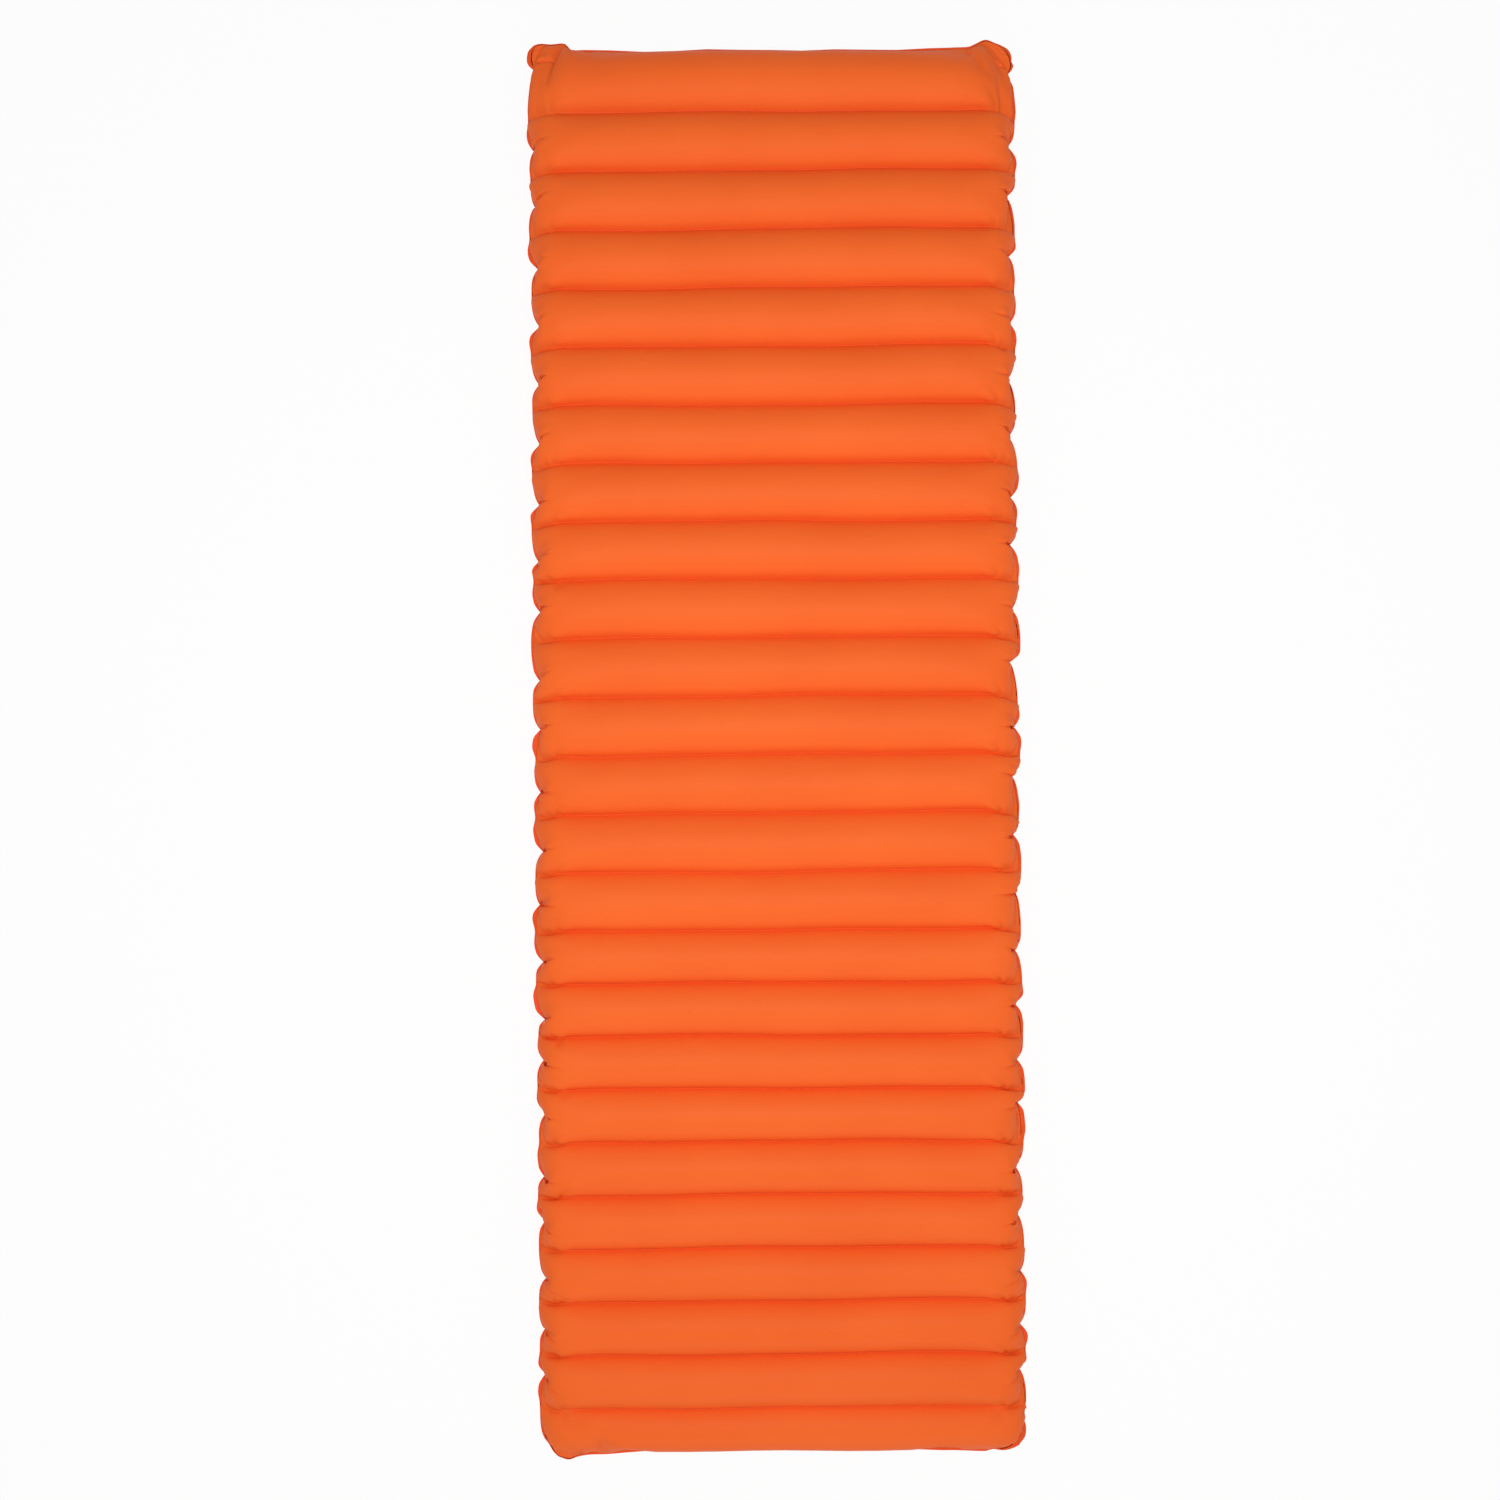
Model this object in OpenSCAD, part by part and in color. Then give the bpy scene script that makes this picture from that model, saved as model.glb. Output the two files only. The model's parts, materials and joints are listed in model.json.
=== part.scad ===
// Inflatable sleeping pad with crosswise air baffles.
// Two welded sheets, inner webs that hold the baffles, and a flat two-stage valve in the underside.
// X runs across the pad, +Y towards the head and +Z up. The pad lies on z = 0.

/* [Pad] */
// Width over the edge weld
pad_w = 635; // [560:1:720]
// Inflated thickness of a torso or leg baffle
pad_h = 84; // [80:1:92]
// Height of the inner webs, weld to weld
web_h = 40; // [36:1:44]
// Thickness of the coated sheets
sheet_t = 1; // [0.8:0.1:1.2]
// Depth of the flat that the pad lies on
rest_flat = 0.5; // [0.3:0.1:0.6]

/* [Baffles] */
// Width of the baffle at the head end, weld line to weld line
head_pitch = 77.5; // [72:0.5:84]
// Thickness of the baffle at the head end
head_h = 80; // [74:1:81]
// Spacing of the torso weld lines
torso_pitch = 75.3; // [72:0.1:82]
// Number of torso baffles
torso_count = 14; // [8:1:16]
// Spacing of the leg weld lines
leg_pitch = 68.4; // [64:0.1:74]
// Number of leg baffles
leg_count = 9; // [6:1:10]
// Width of the baffle at the foot end, weld line to weld line
foot_pitch = 56.5; // [52:0.5:62]
// Thickness of the baffle at the foot end
foot_h = 72; // [66:1:76]

/* [Edges] */
// Width of the welded rim round the edge
rim_w = 6; // [4:0.5:8]
// Depth of the notches in the sides, where the baffles draw the edge in
notch_d = 7; // [6:0.5:10]
// Diagonal cut of the two corners at the head, along each side
head_corner = 14; // [10:1:24]
// Diagonal cut of the two corners at the foot, along each side
foot_corner = 26; // [14:1:32]

/* [Webs] */
// Length of a web
web_len = 550; // [480:1:560]
// Thickness of a web
web_t = 0.8; // [0.6:0.1:1]
// Sheet left over the welded edge of a web
weld_skin = 0.6; // [0.4:0.1:0.8]
// Depth of the bay cut in the ends of a web
bay_d = 10; // [6:1:16]
// Height of that bay
bay_h = 32; // [24:1:34]

/* [Valve seat] */
// Distance of the valve from the side of the pad
valve_inset = 102.5; // [97.5:0.5:177.5]
// Radius of the flat that the valve is welded to
seat_r = 29; // [28.5:0.5:31]
// How much wider the hollow round the valve is at the underside
seat_run = 18; // [14:1:24]

/* [Valve] */
// Radius of the weld flange inside the sheet
flange_r = 27; // [26:0.5:28]
// Thickness of the weld flange
flange_t = 1.2; // [1:0.1:1.6]
// Inside radius of the neck
neck_r = 17; // [16.5:0.1:17.2]
// Wall of the neck
neck_wall = 2; // [1.6:0.1:2.2]
// How far the neck reaches into the pad
neck_depth = 9; // [8:0.5:12]
// Radius of the collar outside the sheet
collar_r = 22; // [21.5:0.1:22.5]
// Thickness of the collar
collar_t = 1.5; // [1.2:0.1:1.8]
// Radius of the plug's plate
plate_r = 20.5; // [19.8:0.1:21]
// Thickness of the plug's plate
plate_t = 2; // [1.8:0.1:2.2]
// Depth of the plug's skirt in the neck
skirt_depth = 6.5; // [5:0.5:7]
// Taper of the plug's skirt
skirt_taper = 1.2; // [1.2:0.1:1.6]
// Wall of the plug's skirt
skirt_wall = 1.6; // [1.4:0.1:1.8]
// Radius of the inflation port
port_r = 9; // [8:0.1:9.2]
// Wall of the spout round the port
spout_wall = 1.5; // [1.3:0.1:1.6]
// Height of the spout over the plate
spout_h = 3; // [2.8:0.1:3.2]
// Wall of the cap
cap_wall = 1.4; // [1.2:0.1:1.6]
// Grip of the cap over the spout
cap_grip = 1.5; // [1.2:0.1:1.6]
// Thickness of the cap's lid
lid_t = 1.6; // [1.4:0.1:1.8]

/* [Check flap] */
// How far the flap's seat lies inside the sheet's outer face
flap_seat = 5.5; // [5:0.1:6]
// Thickness of the flap
flap_t = 0.7; // [0.5:0.1:0.9]
// Lift of the flap
flap_lift = 1; // [0.6:0.1:1.2]
// Radius of the flap's stem
stem_r = 1.5; // [1.2:0.1:1.8]
// Thickness of the spokes that carry the stem
spoke_t = 1.6; // [1.4:0.1:1.8]
// Width of a spoke
spoke_w = 1.8; // [1.4:0.1:2.2]
// Number of spokes
spoke_count = 3; // [3:1:6]
// Wall of the ring that holds the spokes
cage_wall = 1; // [0.8:0.1:1.2]

/* [Hinges and tabs] */
// Radius of a hinge bar
bar_r = 1.1; // [0.9:0.1:1.2]
// Wall of a hinge eye round its bar
eye_wall = 0.9; // [0.8:0.1:1]
// Width of a hinge eye
eye_w = 8; // [6:0.5:9]
// Width of the lugs that hold a hinge bar
lug_w = 2; // [1.6:0.1:2.2]
// Length of the pull tab on the plug
plug_tab = 5; // [4:0.5:5.5]
// Length of the pull tab on the cap
cap_tab = 5; // [4:0.5:5.5]
// Width of the pull tabs
tab_w = 9; // [7:0.5:10]
// Thickness of the pull tabs
tab_t = 1.2; // [1:0.1:1.4]

/* [Clearances] */
// Gap of the plug in the neck and of the cap on the spout, per side
plug_gap = 0.2; // [0.15:0.05:0.3]
// Gap of a hinge eye round its bar
hinge_gap = 0.06; // [0.04:0.01:0.1]
// Gap of a hinge eye between its lugs, per side
lug_gap = 0.3; // [0.2:0.05:0.4]
// Gap between faces that close on each other
face_gap = 0.1; // [0.05:0.05:0.2]
// Gap of the flap's cage in its seat
cage_gap = 0.05; // [0.02:0.01:0.1]

/* [Hidden] */
$fn = 96;
fabric = "orangered";
web_film = "white";
valve_body = "dimgray";
silicone = "gainsboro";
// How far a cutting shape runs past the face that it cuts
past = 1;

// Baffles, counted from the head
tube_count = torso_count + leg_count + 2;
web_count = tube_count - 1;
function is_head(i) = i == 0;
function is_foot(i) = i == tube_count - 1;
function tube_pitch(i) =
    is_head(i) ? head_pitch :
    is_foot(i) ? foot_pitch :
    i <= torso_count ? torso_pitch : leg_pitch;
function tube_h(i) = is_head(i) ? head_h : is_foot(i) ? foot_h : pad_h;
function pitch_sum(n) = n == 0 ? 0 : tube_pitch(n - 1) + pitch_sum(n - 1);

// The arc of a baffle passes through its two weld lines and its crown
function tube_rise(i) = (tube_h(i) - web_h) / 2;
function tube_r(i) = (pow(tube_pitch(i) / 2, 2) + pow(tube_rise(i), 2)) / (2 * tube_rise(i));
function tube_z(i) = tube_h(i) / 2 - tube_r(i);
function tube_reach(i) = tube_z(i) > 0 ? tube_r(i) : sqrt(pow(tube_r(i), 2) - pow(tube_z(i), 2));

// Weld lines along the pad: the first and the last stand for the two ends
head_over = tube_reach(0) - head_pitch / 2;
foot_over = tube_reach(tube_count - 1) - foot_pitch / 2;
pad_len = pitch_sum(tube_count) + head_over + foot_over + 2 * rim_w;
function line_y(j) = pad_len / 2 - rim_w - head_over - pitch_sum(j);
function tube_y(i) = (line_y(i) + line_y(i + 1)) / 2;

// Sides: round bulges at the weld lines, notches between them, and a round flank
mid_z = pad_h / 2 - rest_flat;
form_w = pad_w - 2 * rim_w;
bulge_r = (pow(torso_pitch / 2, 2) + pow(notch_d, 2)) / (2 * notch_d);
bulge_x = form_w / 2 - bulge_r;
flank_over = 1;
flank_r = pad_h / 2 + flank_over;
flank_x = form_w / 2 + flank_over - flank_r;
core_h = web_h / 4;

// Webs
web_edge = web_h / 2 - weld_skin;
bay_r = (pow(bay_h / 2, 2) + pow(bay_d, 2)) / (2 * bay_d);

// Valve seat: a flat across the second baffle, as deep as its width needs
valve_tube = 1;
valve_x = pad_w / 2 - valve_inset;
seat_margin = 1;
seat_depth = tube_z(valve_tube) + sqrt(pow(tube_r(valve_tube), 2) - pow(seat_r + seat_margin, 2));
seat_hollow = pad_h / 2 - seat_depth;

// Valve: heights are outwards from the sheet's outer face
neck_out = neck_r + neck_wall;
plate_z = collar_t + face_gap;
plate_top = plate_z + plate_t;
skirt_r = neck_r - plug_gap;
spout_r = port_r + spout_wall;
spout_top = plate_top + spout_h;
cap_r = spout_r + plug_gap + cap_wall;
cap_taper = 0.3;
lid_z = spout_top + face_gap;

// Hinges: the plug turns on the collar, and the cap on the plug
eye_r = bar_r + hinge_gap + eye_wall;
lug_y = eye_w / 2 + lug_gap;
lug_foot_t = collar_t / 2;
swing_gap = 0.6;
plug_bar_x = plate_r + 2 * eye_r;
plug_bar_z = plate_z + plate_t / 2 + eye_r / 2;
cap_bar_y = cap_r + eye_r + swing_gap;
cap_bar_z = plate_top + eye_r + plug_gap;

// Check flap: its stem hangs in the hub of a cage, under a ledge that stops the pump's nozzle
port_ledge = 0.6;
cage_r = port_r - port_ledge - cage_gap;
stem_gap = 0.1;
hub_wall = 1.6;
bulb_over = 0.9;
bulb_h = 1.4;
bulb_z = spoke_t + flap_lift + face_gap - flap_seat;
ledge_z = bulb_z + bulb_h + face_gap;
flap_r = spout_r + bulb_over;

function web_name(j) = str("baffle_web_", j < 10 ? "0" : "", j);
WEBS = [for (j = [1 : web_count]) web_name(j)];

// All baffles above the middle plane, drawn in y and z, with the wall taken off by inset.
// The inside has a slot for the edge of each web.
module baffle_section(inset) {
    intersection() {
        for (i = [0 : tube_count - 1])
            translate([tube_y(i), tube_z(i)]) circle(r = tube_r(i) - inset);
        translate([-pad_len, 0]) square([2 * pad_len, pad_h]);
    }
    translate([tube_y(tube_count - 1), 0]) square([tube_y(0) - tube_y(tube_count - 1), core_h]);
    end_flank(0, 1, inset);
    end_flank(tube_count - 1, -1, inset);
    if (inset > 0)
        for (j = [1 : web_count])
            translate([line_y(j) - web_t / 2, 0]) square([web_t, web_edge]);
}

// Upright end of the pad, under the arc of an end baffle that is narrower than high
module end_flank(i, towards, inset) {
    reach = tube_r(i) - inset;
    if (tube_z(i) > 0)
        translate([tube_y(i) + (towards < 0 ? -reach : 0), 0]) square([reach, tube_z(i)]);
}

// Round flanks of the two sides, drawn in x and z
module flank_section(inset) {
    square([2 * flank_x, 2 * (flank_r - inset)], center = true);
    for (side = [-1, 1])
        translate([side * flank_x, 0]) circle(r = flank_r - inset);
}

// Plan of the pad: a bulge at the end of each weld line, and cut corners
module plan_outline(grow) {
    intersection() {
        union() {
            square([2 * bulge_x, 2 * pad_len], center = true);
            for (side = [-1, 1], j = [0 : tube_count])
                translate([side * bulge_x, line_y(j)]) circle(r = bulge_r + grow);
        }
        corner_outline(grow);
    }
}

// Plan with its ends straight and its corners cut, wider than the bulges
module corner_outline(grow) {
    half_w = pad_w / 2 + rim_w;
    half_l = pad_len / 2;
    diagonal = form_w / 2 + pad_len / 2 - rim_w + grow * sqrt(2);
    head = diagonal - head_corner;
    foot = diagonal - foot_corner;
    polygon([
        [half_w, head - half_w],
        [head - half_l, half_l],
        [half_l - head, half_l],
        [-half_w, head - half_w],
        [-half_w, half_w - foot],
        [half_l - foot, -half_l],
        [foot - half_l, -half_l],
        [half_w, half_w - foot]
    ]);
}

// Upper half of the inflated form, or of its inside where inset is the wall
module upper_form(inset) {
    intersection() {
        rotate([90, 0, 90]) translate([0, 0, -pad_w / 2]) linear_extrude(pad_w) baffle_section(inset);
        rotate([90, 0, 0]) translate([0, 0, -pad_len / 2]) linear_extrude(pad_len) flank_section(inset);
        translate([0, 0, -past]) linear_extrude(pad_h) plan_outline(-inset);
    }
}

// Welded rim of one sheet
module rim() {
    linear_extrude(sheet_t) plan_outline(rim_w);
}

// What is taken off the underside: the flat that it lies on and the hollow of the valve
module under_cut(inset) {
    translate([-pad_w / 2, -pad_len / 2, pad_h / 2 - rest_flat - inset]) cube([pad_w, pad_len, pad_h]);
    widen = seat_run * (1 + past / seat_hollow);
    translate([-valve_x, tube_y(valve_tube), seat_depth - inset])
        cylinder(h = seat_hollow + past, r1 = seat_r + inset, r2 = seat_r + inset + widen);
}

module top_sheet() {
    color(fabric) translate([0, 0, mid_z]) difference() {
        union() {
            upper_form(0);
            rim();
        }
        upper_form(sheet_t);
    }
}

module bottom_sheet() {
    color(fabric) translate([0, 0, mid_z]) mirror([0, 0, 1]) difference() {
        union() {
            difference() {
                upper_form(0);
                under_cut(0);
            }
            rim();
        }
        difference() {
            upper_form(sheet_t);
            under_cut(sheet_t);
        }
        translate([-valve_x, tube_y(valve_tube), 0]) cylinder(h = pad_h, r = neck_out + face_gap);
    }
}

module baffle_web(j) {
    color(web_film) translate([0, line_y(j) + web_t / 2, mid_z]) rotate([90, 0, 0]) linear_extrude(web_t)
        difference() {
            square([web_len, 2 * web_edge], center = true);
            for (side = [-1, 1])
                translate([side * (web_len / 2 - bay_d + bay_r), 0]) circle(r = bay_r);
        }
}

// Frame of the valve: z = 0 is the outer face of the sheet, and +z points out of the pad
module at_valve() {
    translate([-valve_x, tube_y(valve_tube), mid_z - seat_depth]) rotate([180, 0, 0]) children();
}

// Hinge bar along y between two lugs that reach down by foot
module hinge_lugs(foot) {
    rotate([90, 0, 0]) cylinder(h = 2 * (lug_y + lug_w), r = bar_r, center = true);
    for (start = [lug_y, -lug_y - lug_w])
        translate([0, start + lug_w, 0]) rotate([90, 0, 0]) linear_extrude(lug_w) {
            circle(r = eye_r);
            translate([-eye_r, -foot]) square([2 * eye_r, foot]);
        }
}

// Eye that turns on a hinge bar along y
module hinge_eye() {
    rotate([90, 0, 0]) cylinder(h = eye_w, r = eye_r, center = true);
}

module hinge_bore() {
    rotate([90, 0, 0]) cylinder(h = eye_w + past, r = bar_r + hinge_gap, center = true);
}

// Pull tab along +x that stands out past a round edge
module pull_tab(edge, reach) {
    linear_extrude(tab_t) {
        translate([0, -tab_w / 2]) square([edge + reach - tab_w / 2, tab_w]);
        translate([edge + reach - tab_w / 2, 0]) circle(r = tab_w / 2);
    }
}

module valve_base() {
    color(valve_body) at_valve() difference() {
        union() {
            translate([0, 0, -sheet_t - flange_t]) cylinder(h = flange_t, r = flange_r);
            translate([0, 0, -neck_depth]) cylinder(h = neck_depth + collar_t, r = neck_out);
            cylinder(h = collar_t, r = collar_r);
            translate([0, -lug_y - lug_w, 0]) cube([plug_bar_x + eye_r, 2 * (lug_y + lug_w), lug_foot_t]);
            translate([plug_bar_x, 0, plug_bar_z]) hinge_lugs(plug_bar_z);
        }
        translate([0, 0, -neck_depth - past]) cylinder(h = neck_depth + collar_t + 2 * past, r = neck_r);
    }
}

module inflate_plug() {
    color(valve_body) at_valve() difference() {
        union() {
            rotate_extrude() polygon([
                [port_r, ledge_z],
                [port_r, spout_top],
                [spout_r, spout_top],
                [spout_r, plate_top],
                [plate_r, plate_top],
                [plate_r, plate_z],
                [skirt_r, plate_z],
                [skirt_r - skirt_taper, plate_z - skirt_depth],
                [skirt_r - skirt_taper - skirt_wall, plate_z - skirt_depth],
                [skirt_r - skirt_wall, plate_z],
                [spout_r, plate_z],
                [spout_r, -flap_seat],
                [port_r - port_ledge, -flap_seat],
                [port_r - port_ledge, ledge_z]
            ]);
            translate([skirt_r, -eye_w / 2, plate_z]) cube([plug_bar_x - skirt_r, eye_w, plate_t]);
            translate([plug_bar_x, 0, plug_bar_z]) hinge_eye();
            translate([0, -cap_bar_y, cap_bar_z]) rotate([0, 0, 90]) hinge_lugs(cap_bar_z - plate_z);
            difference() {
                translate([0, 0, plate_top - tab_t]) rotate([0, 0, 180]) pull_tab(plate_r, plug_tab);
                cylinder(h = spout_top, r = spout_r);
            }
        }
        translate([plug_bar_x, 0, plug_bar_z]) hinge_bore();
    }
}

// Ring, spokes and hub pressed into the inner end of the port
module flap_cage() {
    color(valve_body) at_valve() translate([0, 0, -flap_seat]) difference() {
        union() {
            difference() {
                cylinder(h = spoke_t, r = cage_r);
                translate([0, 0, -past]) cylinder(h = spoke_t + 2 * past, r = cage_r - cage_wall);
            }
            cylinder(h = spoke_t, r = stem_r + stem_gap + hub_wall);
            for (k = [0 : spoke_count - 1])
                rotate([0, 0, k * 360 / spoke_count])
                    translate([0, -spoke_w / 2, 0]) cube([cage_r - cage_wall / 2, spoke_w, spoke_t]);
        }
        translate([0, 0, -past]) cylinder(h = spoke_t + 2 * past, r = stem_r + stem_gap);
    }
}

module check_flap() {
    flap_top = -flap_seat - face_gap;
    color(silicone) at_valve() rotate_extrude() polygon([
        [0, flap_top - flap_t],
        [flap_r, flap_top - flap_t],
        [flap_r, flap_top],
        [stem_r, flap_top],
        [stem_r, bulb_z],
        [stem_r + bulb_over, bulb_z],
        [stem_r, bulb_z + bulb_h],
        [0, bulb_z + bulb_h]
    ]);
}

module seal_cap() {
    color(valve_body) at_valve() difference() {
        union() {
            rotate_extrude() polygon([
                [0, lid_z],
                [spout_r + plug_gap, lid_z],
                [spout_r + plug_gap + cap_taper, lid_z - cap_grip],
                [cap_r, lid_z - cap_grip],
                [cap_r, lid_z + lid_t],
                [0, lid_z + lid_t]
            ]);
            translate([-eye_w / 2, -cap_bar_y, lid_z]) cube([eye_w, cap_bar_y - spout_r, tab_t]);
            translate([0, -cap_bar_y, cap_bar_z]) rotate([0, 0, 90]) hinge_eye();
            translate([0, 0, lid_z + lid_t - tab_t]) rotate([0, 0, 90]) pull_tab(cap_r, cap_tab);
        }
        translate([0, -cap_bar_y, cap_bar_z]) rotate([0, 0, 90]) hinge_bore();
    }
}

top_sheet();
bottom_sheet();
for (j = [1 : web_count])
    baffle_web(j);
valve_base();
inflate_plug();
flap_cage();
check_flap();
seal_cap();
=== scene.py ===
"""Looks of an inflatable sleeping pad with crosswise air baffles.

The sheets are cut flat, held along their welds and blown up by a cloth simulation of each long side, where
the baffles end and the fabric gathers. Lengths are in millimetres, and become metres when a mesh is written.
"""

from __future__ import annotations

import json
import logging
import math
from collections.abc import Sequence
from dataclasses import dataclass, field
from enum import Enum

import bpy
import numpy as np
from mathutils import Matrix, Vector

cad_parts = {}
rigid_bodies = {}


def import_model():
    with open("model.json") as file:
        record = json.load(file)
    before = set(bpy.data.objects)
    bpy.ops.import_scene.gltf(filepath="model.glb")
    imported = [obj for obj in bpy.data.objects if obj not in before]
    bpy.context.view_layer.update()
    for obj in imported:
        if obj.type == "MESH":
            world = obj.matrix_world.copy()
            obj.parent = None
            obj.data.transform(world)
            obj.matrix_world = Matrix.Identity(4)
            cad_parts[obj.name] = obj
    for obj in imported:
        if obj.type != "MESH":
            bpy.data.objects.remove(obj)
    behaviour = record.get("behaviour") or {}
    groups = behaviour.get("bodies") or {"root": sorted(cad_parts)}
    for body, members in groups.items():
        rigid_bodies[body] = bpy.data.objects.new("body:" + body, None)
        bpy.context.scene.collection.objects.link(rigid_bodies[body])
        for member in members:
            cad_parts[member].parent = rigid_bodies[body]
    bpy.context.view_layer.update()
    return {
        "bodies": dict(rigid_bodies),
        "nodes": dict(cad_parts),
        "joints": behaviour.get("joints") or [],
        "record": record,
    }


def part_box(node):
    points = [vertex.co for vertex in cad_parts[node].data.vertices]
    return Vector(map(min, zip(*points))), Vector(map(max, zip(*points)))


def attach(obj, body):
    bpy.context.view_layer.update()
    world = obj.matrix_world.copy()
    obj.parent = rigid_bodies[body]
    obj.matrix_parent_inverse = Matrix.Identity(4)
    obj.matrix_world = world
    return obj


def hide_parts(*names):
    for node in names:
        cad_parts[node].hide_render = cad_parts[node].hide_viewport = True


LOG = logging.getLogger("sleeping_pad")
MM = 0.001
PHOTO_PX = 1500
# Added to a length before a division by it.
TINY = 1e-9
# Radians that a wave texture turns along a metre at a scale of 1.
WAVE_RATE = 20
# First and last row of a sheet, each with the sign of y at that end.
ENDS = ((0, 1), (-1, -1))


class Side(Enum):
    """The two long sides of the pad, as the sign of x."""

    LEFT = -1
    RIGHT = 1


class Face(Enum):
    """The two sheets of the pad, as the sign of z about the middle plane."""

    TOP = 1
    UNDER = -1


def linear(hex_code: str) -> tuple[float, float, float, float]:
    """Turn an sRGB colour into linear light.

    Args:
        hex_code: Colour as six hex digits.

    Returns:
        Red, green, blue and an alpha of 1.
    """
    parts = [int(hex_code[i : i + 2], 16) / 255 for i in (0, 2, 4)]
    lit = [c / 12.92 if c <= 0.04045 else ((c + 0.055) / 1.055) ** 2.4 for c in parts]
    return (*lit, 1.0)


def smooth_step(x: np.ndarray) -> np.ndarray:
    """Ease from 0 to 1 while x goes from 0 to 1."""
    t = np.clip(x, 0.0, 1.0)
    return t * t * (3 - 2 * t)


def sample_rows(grid: np.ndarray, at: np.ndarray) -> np.ndarray:
    """Read an array between its rows along a smooth curve through them.

    Args:
        grid: Values, with the rows along the first axis.
        at: Row positions, which may lie between rows.

    Returns:
        The values at those positions.
    """
    last = len(grid) - 1
    before = 2 * grid[:1] - grid[1:2]
    after = 2 * grid[-1:] - grid[-2:-1]
    padded = np.concatenate([before, grid, after])
    low = np.clip(np.floor(at).astype(int), 0, last - 1)
    t = (at - low).reshape((-1,) + (1,) * (grid.ndim - 1))
    p0, p1, p2, p3 = (padded[low + k] for k in range(4))
    return p1 + 0.5 * t * (p2 - p0 + t * (2 * p0 - 5 * p1 + 4 * p2 - p3 + t * (3 * (p1 - p2) + p3 - p0)))


def sample_path(points: np.ndarray, shares: np.ndarray) -> np.ndarray:
    """Read a path of close points at shares of its length.

    Args:
        points: Points along the path, one per row.
        shares: Positions from 0 at its start to 1 at its end.

    Returns:
        One point per share.
    """
    steps = np.linalg.norm(np.diff(points[:, :2], axis=0), axis=1)
    run = np.concatenate([[0.0], np.cumsum(steps)]) / steps.sum()
    return np.stack([np.interp(shares, run, points[:, k]) for k in range(points.shape[1])], 1)


def spline(points: Sequence[Sequence[float]], count: int = 24) -> np.ndarray:
    """Draw a smooth line through a few points.

    Args:
        points: Points in plan, with any other values beside them.
        count: Points of the line for each stretch between two of them.

    Returns:
        Close points along the line.
    """
    through = np.array(points, float)
    return sample_rows(through, np.linspace(0, len(through) - 1, (len(through) - 1) * count + 1))


def join_rows(parts: Sequence[np.ndarray]) -> np.ndarray:
    """Join the rows of all baffles, each of which starts on the last row of the one before."""
    return np.concatenate([parts[0], *[part[1:] for part in parts[1:]]])


def unit(vectors: np.ndarray) -> np.ndarray:
    """Bring the vectors along the last axis to a length of 1."""
    return vectors / (np.linalg.norm(vectors, axis=-1, keepdims=True) + TINY)


@dataclass(frozen=True)
class PadSizes:
    """Main sizes of the pad, read from the frame where a node gives them."""

    half_length: float
    mid_z: float
    crown: float
    seam_y: tuple[float, ...]
    web_half: float
    web_edge: float
    rim: float = 6.0
    weld_skin: float = 0.6
    head_pitch: float = 77.5
    head_crown: float = 40.0
    foot_pitch: float = 56.5
    foot_crown: float = 36.0

    @classmethod
    def from_frame(cls, nodes: dict[str, bpy.types.Object]) -> PadSizes:
        """Measure the CAD nodes.

        Args:
            nodes: The frame's nodes by name.

        Returns:
            The pad's sizes.
        """
        low, high = (np.array(corner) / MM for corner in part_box("top_sheet"))
        webs = [np.array(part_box(name)) / MM for name in sorted(nodes) if name.startswith("baffle_web_")]
        return cls(
            half_length=high[1],
            mid_z=low[2],
            crown=high[2] - low[2],
            seam_y=tuple(web[:, 1].mean() for web in webs),
            web_half=webs[0][1, 0],
            web_edge=np.ptp(webs[0][:, 2]) / 2,
        )

    @property
    def weld_z(self) -> float:
        """Height of a weld line over the middle plane."""
        return self.web_edge + self.weld_skin


@dataclass(frozen=True)
class Baffle:
    """One baffle, as an arc between two weld lines, drawn in y and z over the middle plane."""

    y: float
    z: float
    radius: float
    start: float
    stop: float
    drop: float

    @property
    def length(self) -> float:
        """Length of fabric over the baffle."""
        return self.radius * (self.start - self.stop) + self.drop

    def at(self, shares: np.ndarray) -> np.ndarray:
        """Points over the baffle, from its head side to its foot side.

        Args:
            shares: Shares of the fabric's length.

        Returns:
            y and z of each point.
        """
        run = shares * self.length
        angle = np.maximum(self.start - run / self.radius, self.stop)
        fall = np.maximum(0.0, run - self.radius * (self.start - self.stop))
        y = self.y + self.radius * np.sin(angle)
        z = self.z + self.radius * np.cos(angle) - fall
        return np.stack([y, z], 1)


def baffles_of(sizes: PadSizes) -> list[Baffle]:
    """Lay out all baffles from the head to the foot.

    Args:
        sizes: The pad's sizes.

    Returns:
        The baffles in order.
    """
    lines = [sizes.seam_y[0] + sizes.head_pitch, *sizes.seam_y, sizes.seam_y[-1] - sizes.foot_pitch]
    row = []
    for i, (head, foot) in enumerate(zip(lines, lines[1:])):
        is_head, is_foot = i == 0, i == len(lines) - 2
        crown = sizes.head_crown if is_head else sizes.foot_crown if is_foot else sizes.crown
        half, rise = (head - foot) / 2, crown - sizes.weld_z
        radius = (half**2 + rise**2) / (2 * rise)
        z = crown - radius
        lean = math.asin(min(1.0, half / radius))
        down = math.acos(np.clip(-z / radius, -1.0, 1.0)) if z < 0 else math.pi / 2
        drop = max(0.0, z) if is_head or is_foot else 0.0
        start = down if is_head else lean
        stop = -down if is_foot else -lean
        row.append(Baffle((head + foot) / 2, z, radius, start, stop, drop))
    return row


def fabric_starts(baffles: list[Baffle]) -> np.ndarray:
    """Length of fabric from the head's edge to the start of each baffle, and last to the foot's edge."""
    return np.cumsum([0.0, *[baffle.length for baffle in baffles]])


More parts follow.
